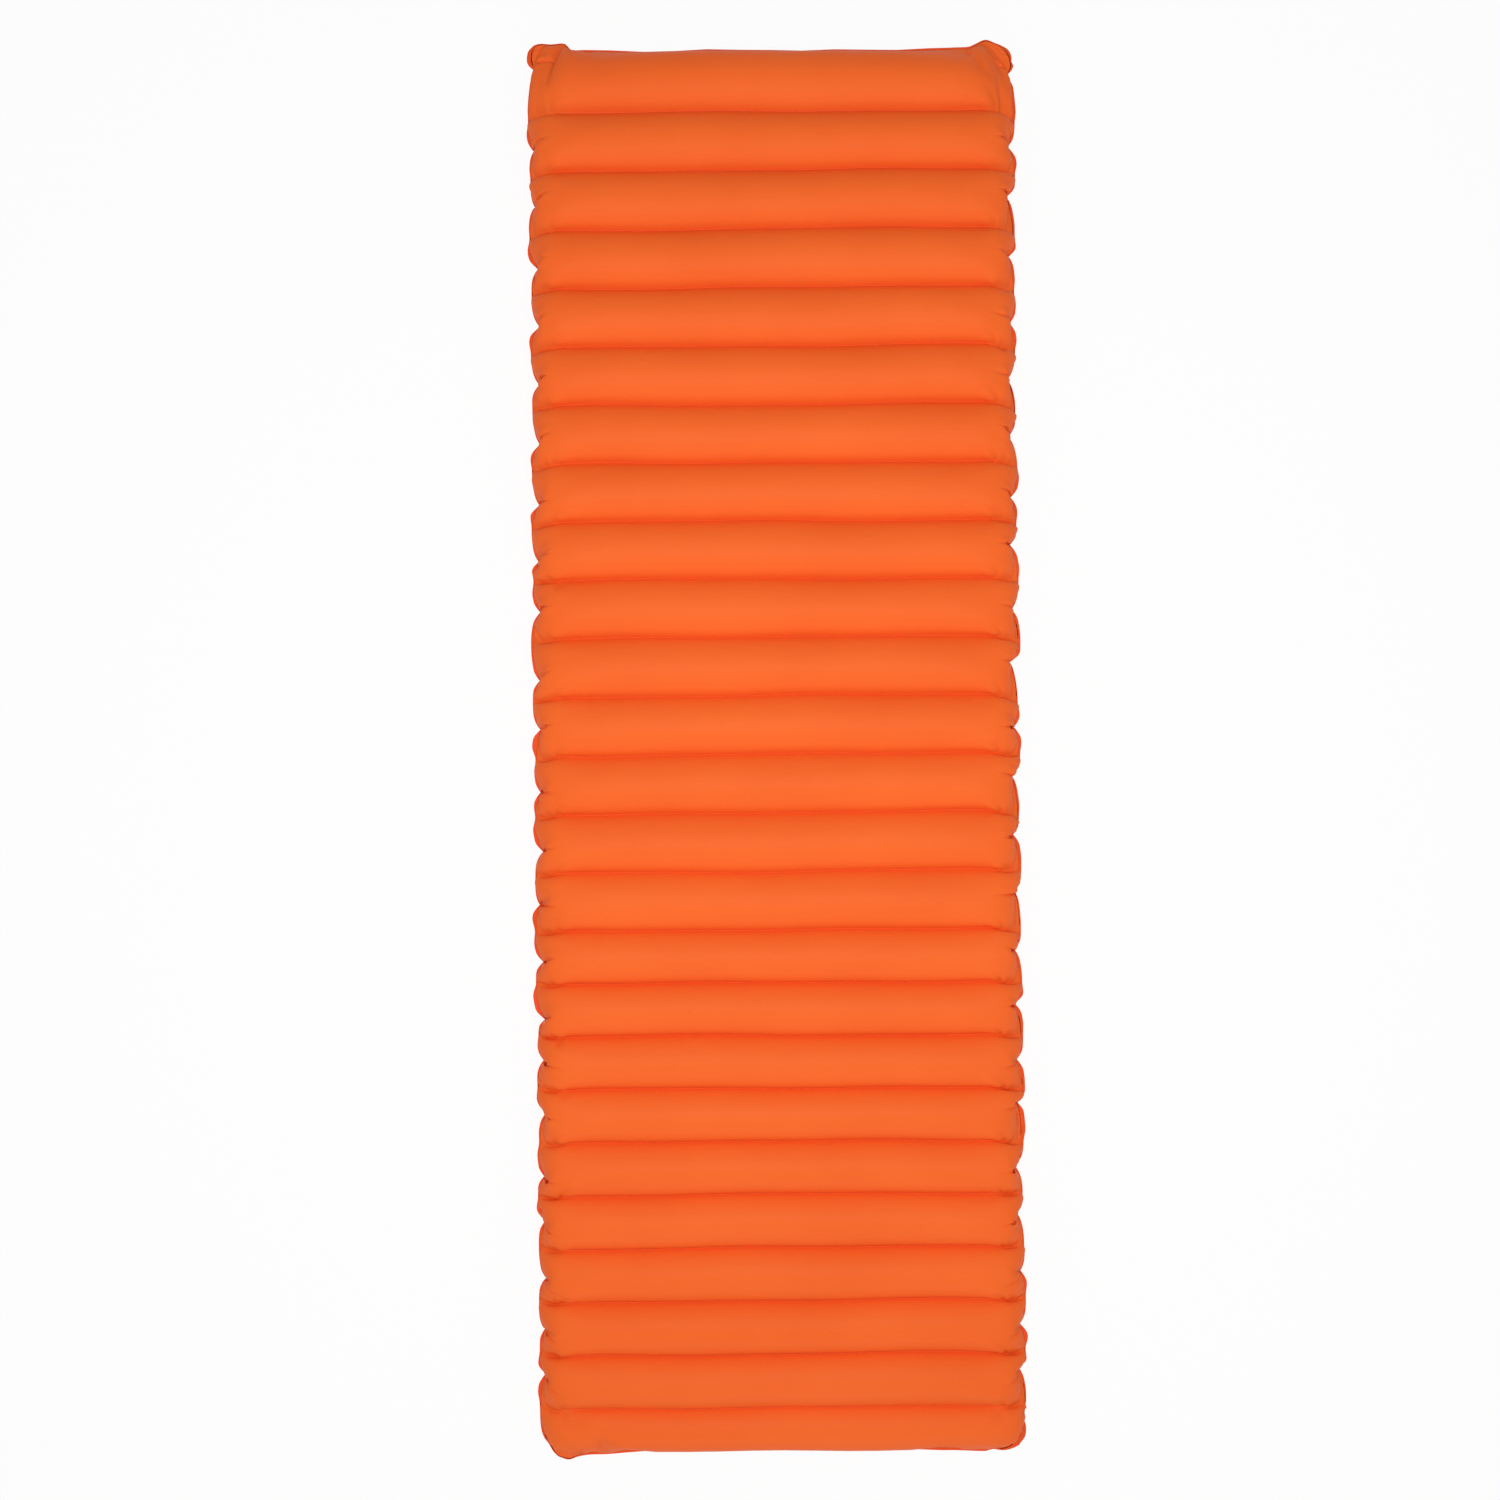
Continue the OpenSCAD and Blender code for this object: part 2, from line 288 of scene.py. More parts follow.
@dataclass(frozen=True)
class Corner:
    """Edge weld round one corner, from the end of the pad to its long side.

    Each point is the distance from the middle, the distance past the end line and the width of the rim.
    """

    points: tuple[tuple[float, float, float], ...]
    turn: int
    notch: float = 0.0


HEAD_CORNERS = {
    Side.LEFT: Corner(
        (
            (240, 0.0, 2.6),
            (256, -0.4, 2.6),
            (262, 1.2, 2.2),
            (269, 9.6, 1.4),
            (285, 9.2, 1.0),
            (300, 9.8, 1.4),
            (307, 6.4, 3.2),
            (310.8, 0.0, 5.4),
            (312.0, -8.0, 6.0),
        ),
        turn=6,
        notch=26.0,
    ),
    Side.RIGHT: Corner(
        (
            (240, 0.6, 2.6),
            (258, 0.4, 2.6),
            (268, 5.0, 1.6),
            (280, 9.6, 1.6),
            (291, 6.0, 1.2),
            (299, 1.8, 2.4),
            (306, -4.0, 4.6),
            (310.6, -11.0, 3.4),
            (312.0, -17.0, 1.4),
            (313.0, -22.0, 3.6),
        ),
        turn=5,
        notch=36.0,
    ),
}
FOOT_CORNERS = {
    Side.LEFT: Corner(
        (
            (228, 1.6, 2.6),
            (252, 2.2, 2.4),
            (268, 5.4, 1.6),
            (280, 9.6, 1.2),
            (293, 5.6, 1.0),
            (299, -1.0, 1.2),
            (304.5, -11.0, 1.4),
            (310.0, -20.0, 2.2),
            (313.4, -34.0, 2.4),
        ),
        turn=4,
    ),
    Side.RIGHT: Corner(
        (
            (228, 0.8, 2.4),
            (262, 1.8, 3.0),
            (272, 1.0, 1.2),
            (286, 1.6, 2.4),
            (296, -2.0, 4.2),
            (304, -8.0, 6.4),
            (309, -16.0, 7.0),
            (311.5, -26.0, 5.0),
            (312.3, -38.0, 1.6),
        ),
        turn=5,
    ),
}


@dataclass
class SideEdge:
    """Plan of the edge weld along one side.

    The edge bulges at each weld line, has a folded notch in each baffle, and turns into ears at the ends.
    A value that ends in vary or shift bounds a draw. One that ends in run or grow is how far a form fades.
    """

    sizes: PadSizes
    side: Side
    seed: int
    bulge_x: float = 314.5
    bulge_vary: float = 1.6
    apex_shift: tuple[float, float] = (-6.0, 3.0)
    notch: float = 5.4
    notch_vary: float = 3.0
    notch_shift: tuple[float, float] = (-16.0, 6.0)
    notch_sweep: float = 1.8
    head_share: float = 0.36
    share_shift: float = 0.6
    tip: float = 3.0
    tip_run: float = 3.6
    tuck: float = 4.6
    tuck_run: float = 1.5
    tuck_vary: tuple[float, float] = (0.7, 1.25)
    crease_lean: float = -0.1
    lean_vary: tuple[float, float] = (-0.14, 0.1)
    rim_curl: float = 3.0
    curl_vary: tuple[float, float] = (-1.0, 0.5)
    rim_least: float = 0.7
    rim_vary: tuple[float, float] = (0.2, 1.05)
    bridge_vary: tuple[float, float] = (-0.6, 1.0)
    seam_grow: float = 18.0
    notch_grow: float = 15.0
    end_rim: float = 3.0
    end_mean: float = 0.9
    end_vary: float = 0.22
    end_waves: tuple[tuple[float, float], ...] = ((1.0, 31.0), (0.6, 13.0))
    halves: int = 90
    crowding: float = 1.6
    seam_x: np.ndarray = field(init=False)
    apex_y: np.ndarray = field(init=False)
    depth: np.ndarray = field(init=False)
    shift: np.ndarray = field(init=False)
    fold: np.ndarray = field(init=False)
    curl: np.ndarray = field(init=False)
    width: np.ndarray = field(init=False)
    bridge: np.ndarray = field(init=False)
    lean: np.ndarray = field(init=False)

    def __post_init__(self) -> None:
        """Draw what makes each bulge and notch a little different, the same at every run."""
        draws = np.random.default_rng(self.seed)
        seams = len(self.sizes.seam_y)
        notches = seams + 1
        self.seam_x = self.bulge_x + draws.uniform(-1, 1, seams) * self.bulge_vary
        self.apex_y = np.array(self.sizes.seam_y) + draws.uniform(*self.apex_shift, seams)
        self.depth = self.notch + draws.uniform(-1, 1, notches) * self.notch_vary
        self.shift = draws.uniform(*self.notch_shift, notches)
        self.fold = self.tuck * draws.uniform(*self.tuck_vary, notches)
        self.curl = draws.uniform(*self.curl_vary, notches) * self.rim_curl
        self.width = self.sizes.rim * draws.uniform(*self.rim_vary, 2 * seams + 1)
        self.bridge = draws.uniform(*self.bridge_vary, notches)
        self.lean = self.crease_lean + draws.uniform(*self.lean_vary, notches)

    @property
    def end(self) -> float:
        """Distance of the end lines from the middle of the pad."""
        return self.sizes.half_length - self.end_rim

    def half_bulge(self, x: float, seam: float, i: int, width: float, seam_width: float) -> np.ndarray:
        """Draw the edge from a weld line to the notch of a baffle.

        Args:
            x: Distance of the bulge from the middle of the pad.
            seam: y of the bulge.
            i: Which baffle the notch is in.
            width: Width of the rim where it is widest.
            seam_width: Width of the rim at the weld line.

        Returns:
            x and y of the edge with its tuck, x and y of the edge without it, and the width of the rim.
        """
        notch = self.notch_y(i)
        gap = abs(seam - notch)
        q = np.linspace(1, 0, self.halves) ** self.crowding
        away = q * gap
        soft = x - self.depth[i] * (1 - q) ** self.notch_sweep - self.tip * np.exp(-away / self.tip_run)
        root = soft - self.fold[i] * np.exp(-((away / self.tuck_run) ** 2))
        y = notch + q * (seam - notch)
        tab = seam_width + (width - seam_width) * smooth_step((gap - away) / self.seam_grow)
        rim = self.rim_least + (tab - self.rim_least) * smooth_step(away / self.notch_grow)
        return np.stack([root, y, soft, y, rim], 1)

    def round_corner(self, corner: Corner, end: int) -> np.ndarray:
        """Place the points of a corner in plan, with the rim's width.

        Args:
            corner: The corner.
            end: 1 at the head and -1 at the foot.

        Returns:
            x, y and width of each point.
        """
        points = np.array(corner.points, float)
        points[:, 1] = end * (self.end + points[:, 1])
        return points

    def plain(self, line: np.ndarray) -> np.ndarray:
        """Give an edge that has no tuck the columns of half_bulge."""
        return np.concatenate([line[:, :2], line], 1)

    def notch_y(self, i: int) -> float:
        """Find where the notch of a baffle lies: near its middle, but close to the ear at the head.

        Args:
            i: Which baffle.

        Returns:
            y of the notch.
        """
        seams = self.sizes.seam_y
        if i == 0:
            return self.end - HEAD_CORNERS[self.side].notch
        if i == len(seams):
            return (seams[-1] - self.end) / 2
        return (seams[i - 1] + seams[i]) / 2 + self.shift[i]

    def notch_share(self, i: int) -> float:
        """Find the share of a baffle's fabric at which its notch lies.

        Args:
            i: Which baffle.

        Returns:
            The share, from the baffle's head side.
        """
        seams = self.sizes.seam_y
        if i == 0:
            return self.head_share
        if i == len(seams):
            return 0.5
        return 0.5 - self.share_shift * self.shift[i] / (seams[i - 1] - seams[i])

    def along(self, i: int, shares: np.ndarray) -> np.ndarray:
        """Read the edge beside one baffle.

        Args:
            i: Which baffle.
            shares: Shares of the baffle's fabric, from its head side.

        Returns:
            One row per share, in the columns of half_bulge.
        """
        if i == len(self.sizes.seam_y):
            return sample_path(self.foot_side(), shares)
        if i == 0:
            ear = HEAD_CORNERS[self.side]
            line = self.round_corner(ear, 1)
            x, y, width = line[-1]
            round_part = self.plain(spline(line[ear.turn :]))
            upper = np.concatenate([round_part[:-1], self.half_bulge(x, y, i, width, width)])
        else:
            upper = self.half_bulge(
                self.seam_x[i - 1], self.apex_y[i - 1], i, self.width[2 * i - 1], self.seam_width(i - 1)
            )
        lower = self.half_bulge(self.seam_x[i], self.apex_y[i], i, self.width[2 * i], self.seam_width(i))
        turn = self.notch_share(i)
        before = sample_path(upper, shares[shares <= turn] / turn)
        after = sample_path(lower[::-1], (shares[shares > turn] - turn) / (1 - turn))
        return np.concatenate([before, after])

    def seam_width(self, i: int) -> float:
        """Width of the rim at a weld line: on some as wide as beside it, on others next to nothing."""
        beside = self.width[2 * i : 2 * i + 2].min()
        return self.rim_least + max(0.0, self.bridge[i]) * (beside - self.rim_least)

    def foot_side(self) -> np.ndarray:
        """Draw the edge beside the last baffle, from its weld line to the turn of the corner.

        Returns:
            Close points, in the columns of half_bulge.
        """
        corner = FOOT_CORNERS[self.side]
        line = self.round_corner(corner, -1)[corner.turn :][::-1]
        seam = (self.seam_x[-1], self.apex_y[-1], self.seam_width(len(self.seam_x) - 1))
        return self.plain(spline([seam, *line]))

    def end_row(self, end: int, inner: float, shares: np.ndarray) -> np.ndarray:
        """Read the edge of the head or the foot from the inside to the turn of the corner.

        Args:
            end: 1 at the head and -1 at the foot.
            inner: Distance from the middle where it starts.
            shares: Shares of its length.

        Returns:
            x, y and the width of the rim, one row per share.
        """
        corner = (HEAD_CORNERS if end > 0 else FOOT_CORNERS)[self.side]
        line = self.round_corner(corner, end)[: corner.turn + 1]
        start = (inner, end * self.end, self.end_width(np.array(inner)))
        return sample_path(spline([start, *line]), shares)

    def end_width(self, x: np.ndarray) -> np.ndarray:
        """Width of the rim at the head and the foot between the corners: narrow and uneven."""
        waves = [high * np.sin(x / run + k * self.seed) for k, (high, run) in enumerate(self.end_waves, 1)]
        return self.end_rim * (self.end_mean + self.end_vary * sum(waves))


@dataclass
class SideCloth:
    """Cloth of one long side: the flat cut, held at its welds and blown up."""

    sizes: PadSizes
    baffles: list[Baffle]
    edge: SideEdge
    inner: float = 200.0
    flank: float = 269.5
    cut: float = 334.5
    columns: int = 26
    kink: float = 3.5
    slack: float = 4.0
    slack_run: float = 60.0
    weld_fall: float = 1.7
    rows_each: int = 16
    gather: float = 0.6
    frames: int = 30
    morph: int = 12
    quality: int = 5
    pressure: float = 300.0
    tension: float = 60.0
    compression: float = 0.6
    shear: float = 4.0
    bending: float = 0.03
    damping: float = 5.0
    air_damping: float = 2.0
    pin_stiffness: float = 50.0
    vertex_mass: float = 0.02

    def row_shares(self) -> np.ndarray:
        """Shares of a baffle's fabric at which the cloth has rows, closer in the middle where it folds."""
        s = np.linspace(-1, 1, self.rows_each + 1)
        return 0.5 + 0.5 * (self.gather * s + (1 - self.gather) * s**3)

    def cut_x(self) -> np.ndarray:
        """Distances from the middle of the pad at which the flat cut has columns."""
        return np.linspace(self.inner, self.cut, self.columns)

    def shapes(self) -> tuple[np.ndarray, np.ndarray, np.ndarray]:
        """Lay out the flat cut, the form that it is held in, and where it is held.

        Returns:
            Flat and held positions as rows by columns by 3, and a mask of the held points.
        """
        shares, u = self.row_shares(), self.cut_x()
        starts = fabric_starts(self.baffles)
        profile = join_rows([baffle.at(shares) for baffle in self.baffles])
        plan = join_rows([self.edge.along(i, shares) for i in range(len(self.baffles))])
        along = join_rows([start + shares * baffle.length for start, baffle in zip(starts, self.baffles)])

        flat = np.zeros((len(profile), len(u), 3))
        flat[..., 0] = u
        flat[..., 1] = (profile[0, 0] + profile[-1, 0] + starts[-1]) / 2 - along[:, None]
        loose = smooth_step((self.cut - u) / self.slack_run) * profile[:, 1:] / self.sizes.crown
        flat[..., 2] = self.slack * loose

        out = np.sin(np.clip((u - self.flank) / (self.cut - self.flank), 0, 1) * math.pi / 2)
        held = np.zeros_like(flat)
        held[..., 0] = u + out * (plan[:, :1] - u)
        held[..., 1] = profile[:, :1] + out * (plan[:, 1:2] - profile[:, :1])
        held[..., 2] = profile[:, 1:] * np.sqrt(1 - out**2)
        mask = np.zeros(flat.shape[:2], bool)
        mask[:, [0, -1]] = mask[[0, -1]] = True

        web = self.sizes.web_half
        past_web = np.clip((u - web) / (self.cut - web), 0, 1)
        bend = self.kink * np.sin(math.pi * past_web) ** 2
        for row in self.rows_each * np.arange(1, len(self.baffles)):
            mask[row] = True
            held[row, :, 0] = np.minimum(u, web) + past_web * (plan[row, 0] - web)
            held[row, :, 1] = profile[row, 0] + past_web * (plan[row, 1] - profile[row, 0]) - bend
            held[row, :, 2] = self.sizes.weld_z * (1 - past_web**self.weld_fall)
        held[:, -1, :2] = plan[:, :2]
        held[:, -1, 2] = 0.0
        across = (u - self.inner) / (self.cut - self.inner)
        for row, end in ENDS:
            held[row, :, :2] = self.edge.end_row(end, self.inner, across)[:, :2]
            held[row, :, 2] = 0.0
        return flat, held, mask

    def blow_up(self) -> np.ndarray:
        """Simulate the cloth, which morphs from the flat cut to the held form while the air fills it.

        Returns:
            The blown up positions as rows by columns by 3, with x away from the middle of the pad.
        """
        flat, held, mask = self.shapes()
        faces = grid_quads(*flat.shape[:2]).reshape(-1, 4)
        piece = mesh_object(f"side_cloth_{self.edge.side.name.lower()}", flat.reshape(-1, 3), faces.tolist())
        group = piece.vertex_groups.new(name="held")
        group.add(np.flatnonzero(mask).tolist(), 1.0, "REPLACE")
        piece.shape_key_add(name="flat")
        key = piece.shape_key_add(name="held")
        key.data.foreach_set("co", (held * MM).astype(np.float32).ravel())
        for frame, value in ((1, 0.0), (self.morph + 1, 1.0)):
            key.value = value
            key.keyframe_insert("value", frame=frame)
        cloth = piece.modifiers.new("Cloth", "CLOTH")
        how = cloth.settings
        how.quality = self.quality
        how.mass = self.vertex_mass
        how.tension_stiffness = self.tension
        how.compression_stiffness = self.compression
        how.shear_stiffness = self.shear
        how.bending_stiffness = self.bending
        how.tension_damping = how.compression_damping = how.shear_damping = self.damping
        how.air_damping = self.air_damping
        how.use_pressure = True
        how.uniform_pressure_force = self.pressure
        how.vertex_group_mass = "held"
        how.pin_stiffness = self.pin_stiffness
        how.effector_weights.gravity = 0.0
        cloth.collision_settings.use_collision = False
        cloth.point_cache.frame_end = self.frames
        for frame in range(1, self.frames + 1):
            bpy.context.scene.frame_set(frame)
        shown = piece.evaluated_get(bpy.context.evaluated_depsgraph_get())
        co = np.empty(flat.size, np.float32)
        shown.data.vertices.foreach_get("co", co)
        bpy.context.scene.frame_set(1)
        mesh, action = piece.data, piece.data.shape_keys.animation_data.action
        bpy.data.objects.remove(piece)
        bpy.data.meshes.remove(mesh)
        bpy.data.actions.remove(action)
        return co.reshape(flat.shape).astype(float) / MM


def grid_quads(rows: int, columns: int) -> np.ndarray:
    """Number the corners of a grid's faces, which look up if x grows along a row and y falls between rows.

    Args:
        rows: Rows of points.
        columns: Columns of points.

    Returns:
        Corner numbers as rows of faces by columns of faces by 4.
    """
    i = np.arange(rows * columns).reshape(rows, columns)
    return np.stack([i[:-1, :-1], i[1:, :-1], i[1:, 1:], i[:-1, 1:]], -1)


def mesh_object(name: str, points: np.ndarray, faces: list[list[int]]) -> bpy.types.Object:
    """Make a smooth mesh object.

    Args:
        name: Name of the object.
        points: Points in millimetres.
        faces: Corner numbers of each face.

    Returns:
        The object, linked to the scene.
    """
    mesh = bpy.data.meshes.new(name)
    mesh.from_pydata((np.asarray(points) * MM).tolist(), [], faces)
    mesh.polygons.foreach_set("use_smooth", np.ones(len(faces), bool))
    piece = bpy.data.objects.new(name, mesh)
    bpy.context.scene.collection.objects.link(piece)
    return piece


def mark_border_sharp(mesh: bpy.types.Mesh) -> None:
    """Mark the open edges of a mesh, so that its cut edge doesn't round the shading of its faces.

    Args:
        mesh: Mesh that is marked.
    """
    used = np.empty(len(mesh.loops), np.int32)
    mesh.loops.foreach_get("edge_index", used)
    open_edges = np.bincount(used, minlength=len(mesh.edges)) == 1
    mesh.attributes.new("sharp_edge", "BOOLEAN", "EDGE").data.foreach_set("value", open_edges)


def feed(tree: bpy.types.NodeTree, node: bpy.types.Node, links: dict[str | int, object]) -> None:
    """Set or link the inputs of a node.

    Args:
        tree: Node tree that holds it.
        node: The node.
        links: Input name or number to a value or to the output socket that feeds it.
    """
    for name, value in links.items():
        if isinstance(value, bpy.types.NodeSocket):
            tree.links.new(value, node.inputs[name])
        else:
            node.inputs[name].default_value = value


def add_node(
    tree: bpy.types.NodeTree,
    kind: str,
    links: dict[str | int, object] | None = None,
    **settings: object,
) -> bpy.types.Node:
    """Add a node with its settings and links.

    Args:
        tree: Node tree that takes it.
        kind: Type of the node.
        links: Input name or number to a value or to the output socket that feeds it.
        **settings: Attributes of the node.

    Returns:
        The new node.
    """
    node = tree.nodes.new(kind)
    for name, value in settings.items():
        setattr(node, name, value)
    feed(tree, node, links or {})
    return node


def new_material(name: str) -> tuple[bpy.types.Material, bpy.types.NodeTree, bpy.types.Node]:
    """Start a material.

    Args:
        name: What the material is.

    Returns:
        The material, its node tree and its surface shader.
    """
    material = bpy.data.materials.new(name)
    material.use_nodes = True
    return material, material.node_tree, material.node_tree.nodes["Principled BSDF"]


def wave_scale(spacing: float) -> float:
    """Scale of a band pattern whose bands are that many millimetres apart."""
    return 2 * math.pi / (WAVE_RATE * spacing * MM)


def noise_scale(grain: float) -> float:
    """Scale of a noise whose grains are about that many millimetres wide."""
    return 1 / (grain * MM)


@dataclass(frozen=True)
class CoatedNylon:
    """Thin woven nylon with its coating on the inside: a close plain weave with a satin face.

    Grain sizes and depths are in millimetres. A stretch is how much shorter than wide a grain is drawn.
    """

    name: str
    colour: str
    shade: str
    # weld: colour at the weld lines, partly the weld's own redder tone and partly painted shade in the seam
    # valleys
    weld: str
    roughness: float = 0.5
    rough_vary: float = 0.05
    ior: float = 1.5
    specular: float = 0.07
    thread: float = 1.5
    thread_depth: float = 0.4
    thread_strength: float = 0.12
    slub: float = 3.0
    slub_stretch: float = 0.12
    slub_share: float = 0.35
    slub_range: tuple[float, float] = (0.2, 0.8)
    mottle: float = 160.0
    tone_range: tuple[float, float] = (0.35, 1.0)
    pucker: float = 5.5
    pucker_stretch: float = 0.16
    pucker_depth: float = 4.0
    pucker_strength: float = 0.5

    def build(self) -> bpy.types.Material:
        """Make the material, with a weave three times as coarse as the real thread, so that it shows at all.

        Returns:
            The material.
        """
        material, tree, shader = new_material(self.name)
        uv = add_node(tree, "ShaderNodeUVMap", uv_map="cut").outputs["UV"]
        grains = (
            (self.slub, self.slub_stretch, 2.0),
            (self.mottle, 1.0, 3.0),
            (self.pucker, self.pucker_stretch, 1.0),
        )
        noises = []
        for grain, stretch, detail in grains:
            place = add_node(tree, "ShaderNodeMapping", {"Vector": uv, "Scale": (stretch, 1.0, 1.0)})
            links = {"Vector": place.outputs[0], "Scale": noise_scale(grain), "Detail": detail}
            noises.append(add_node(tree, "ShaderNodeTexNoise", links).outputs[0])
        slub, mottle, ticks = noises

        mixed = {0: slub, 1: self.slub_share, 2: mottle}
        tone = add_node(tree, "ShaderNodeMath", mixed, operation="MULTIPLY_ADD").outputs[0]
        low, high = self.tone_range
        spread = add_node(tree, "ShaderNodeMapRange", {0: tone, 1: low, 2: high}).outputs[0]
        dyes = {0: spread, 6: linear(self.shade), 7: linear(self.colour)}
        base = add_node(tree, "ShaderNodeMix", dyes, data_type="RGBA").outputs[2]
        # The weld mask mixes in the weld colour: the weld's own tone, and painted shade in the seam valleys.
        weld = add_node(tree, "ShaderNodeAttribute", attribute_name="weld").outputs["Fac"]
        dyed = add_node(tree, "ShaderNodeMix", {0: weld, 6: base, 7: linear(self.weld)}, data_type="RGBA")

        low, high = self.slub_range
        smooth, dull = self.roughness - self.rough_vary, self.roughness + self.rough_vary
        rough = add_node(tree, "ShaderNodeMapRange", {0: slub, 1: low, 2: high, 3: smooth, 4: dull})

        gather = add_node(tree, "ShaderNodeAttribute", attribute_name="gather").outputs["Fac"]
        folds = add_node(tree, "ShaderNodeMath", {0: ticks, 1: gather}, operation="MULTIPLY").outputs[0]
        fold_bump = add_node(
            tree,
            "ShaderNodeBump",
            {"Height": folds, "Strength": self.pucker_strength, "Distance": self.pucker_depth * MM},
        )
        bands = {"Vector": uv, "Scale": wave_scale(self.thread)}
        warp, weft = (
            add_node(tree, "ShaderNodeTexWave", bands, bands_direction=way).outputs[1] for way in ("X", "Y")
        )
        weave = add_node(tree, "ShaderNodeMath", {0: warp, 1: weft}, operation="MAXIMUM").outputs[0]
        weave_bump = add_node(
            tree,
            "ShaderNodeBump",
            {
                "Height": weave,
                "Strength": self.thread_strength,
                "Distance": self.thread_depth * MM,
                "Normal": fold_bump.outputs[0],
            },
        )
        surface = {
            "Base Color": dyed.outputs[2],
            "Roughness": rough.outputs[0],
            "Normal": weave_bump.outputs[0],
            "IOR": self.ior,
            "Specular IOR Level": self.specular,
        }
        feed(tree, shader, surface)
        return material


@dataclass(frozen=True)
class Moulded:
    """Moulded urethane or silicone: one colour, a little cloudy, with the fine spark grain of its mould."""

    name: str
    colour: str
    shade: str
    roughness: float
    ior: float
    rough_vary: float = 0.07
    spark: float = 0.8
    spark_depth: float = 0.2
    spark_strength: float = 0.25
    spark_range: tuple[float, float] = (0.3, 0.7)
    cloud: float = 7.0

    def build(self) -> bpy.types.Material:
        """Make the material.

        Returns:
            The material.
        """
        material, tree, shader = new_material(self.name)
        place = add_node(tree, "ShaderNodeTexCoord").outputs["Object"]
        noises = []
        for grain, detail in ((self.cloud, 4.0), (self.spark, 2.0)):
            links = {"Vector": place, "Scale": noise_scale(grain), "Detail": detail}
            noises.append(add_node(tree, "ShaderNodeTexNoise", links).outputs[0])
        cloud, spark = noises
        tones = {0: cloud, 6: linear(self.shade), 7: linear(self.colour)}
        base = add_node(tree, "ShaderNodeMix", tones, data_type="RGBA")
        low, high = self.spark_range
        smooth, dull = self.roughness - self.rough_vary, self.roughness + self.rough_vary
        rough = add_node(tree, "ShaderNodeMapRange", {0: spark, 1: low, 2: high, 3: smooth, 4: dull})
        relief = {"Height": spark, "Strength": self.spark_strength, "Distance": self.spark_depth * MM}
        bump = add_node(tree, "ShaderNodeBump", relief)
        surface = {
            "Base Color": base.outputs[2],
            "Roughness": rough.outputs[0],
            "Normal": bump.outputs[0],
            "IOR": self.ior,
        }
        feed(tree, shader, surface)
        return material


@dataclass(frozen=True)
class WebFilm:
    """Film-laminated nylon strip, undyed: a pale cloth with a faint weave and a dull face."""

    name: str = "film_laminated_nylon"
    colour: str = "E4DFD4"
    shade: str = "D5CEC0"
    roughness: float = 0.6
    thread: float = 1.2
    thread_depth: float = 0.2
    thread_strength: float = 0.2

    def build(self) -> bpy.types.Material:
        """Make the material.

        Returns:
            The material.
        """
        material, tree, shader = new_material(self.name)
        place = add_node(tree, "ShaderNodeTexCoord").outputs["Object"]
        bands = {"Vector": place, "Scale": wave_scale(self.thread)}
        threads = add_node(tree, "ShaderNodeTexWave", bands, bands_direction="X").outputs[1]
        tones = {0: threads, 6: linear(self.shade), 7: linear(self.colour)}
        base = add_node(tree, "ShaderNodeMix", tones, data_type="RGBA")
        relief = {"Height": threads, "Strength": self.thread_strength, "Distance": self.thread_depth * MM}
        bump = add_node(tree, "ShaderNodeBump", relief)
        surface = {"Base Color": base.outputs[2], "Roughness": self.roughness, "Normal": bump.outputs[0]}
        feed(tree, shader, surface)
        return material


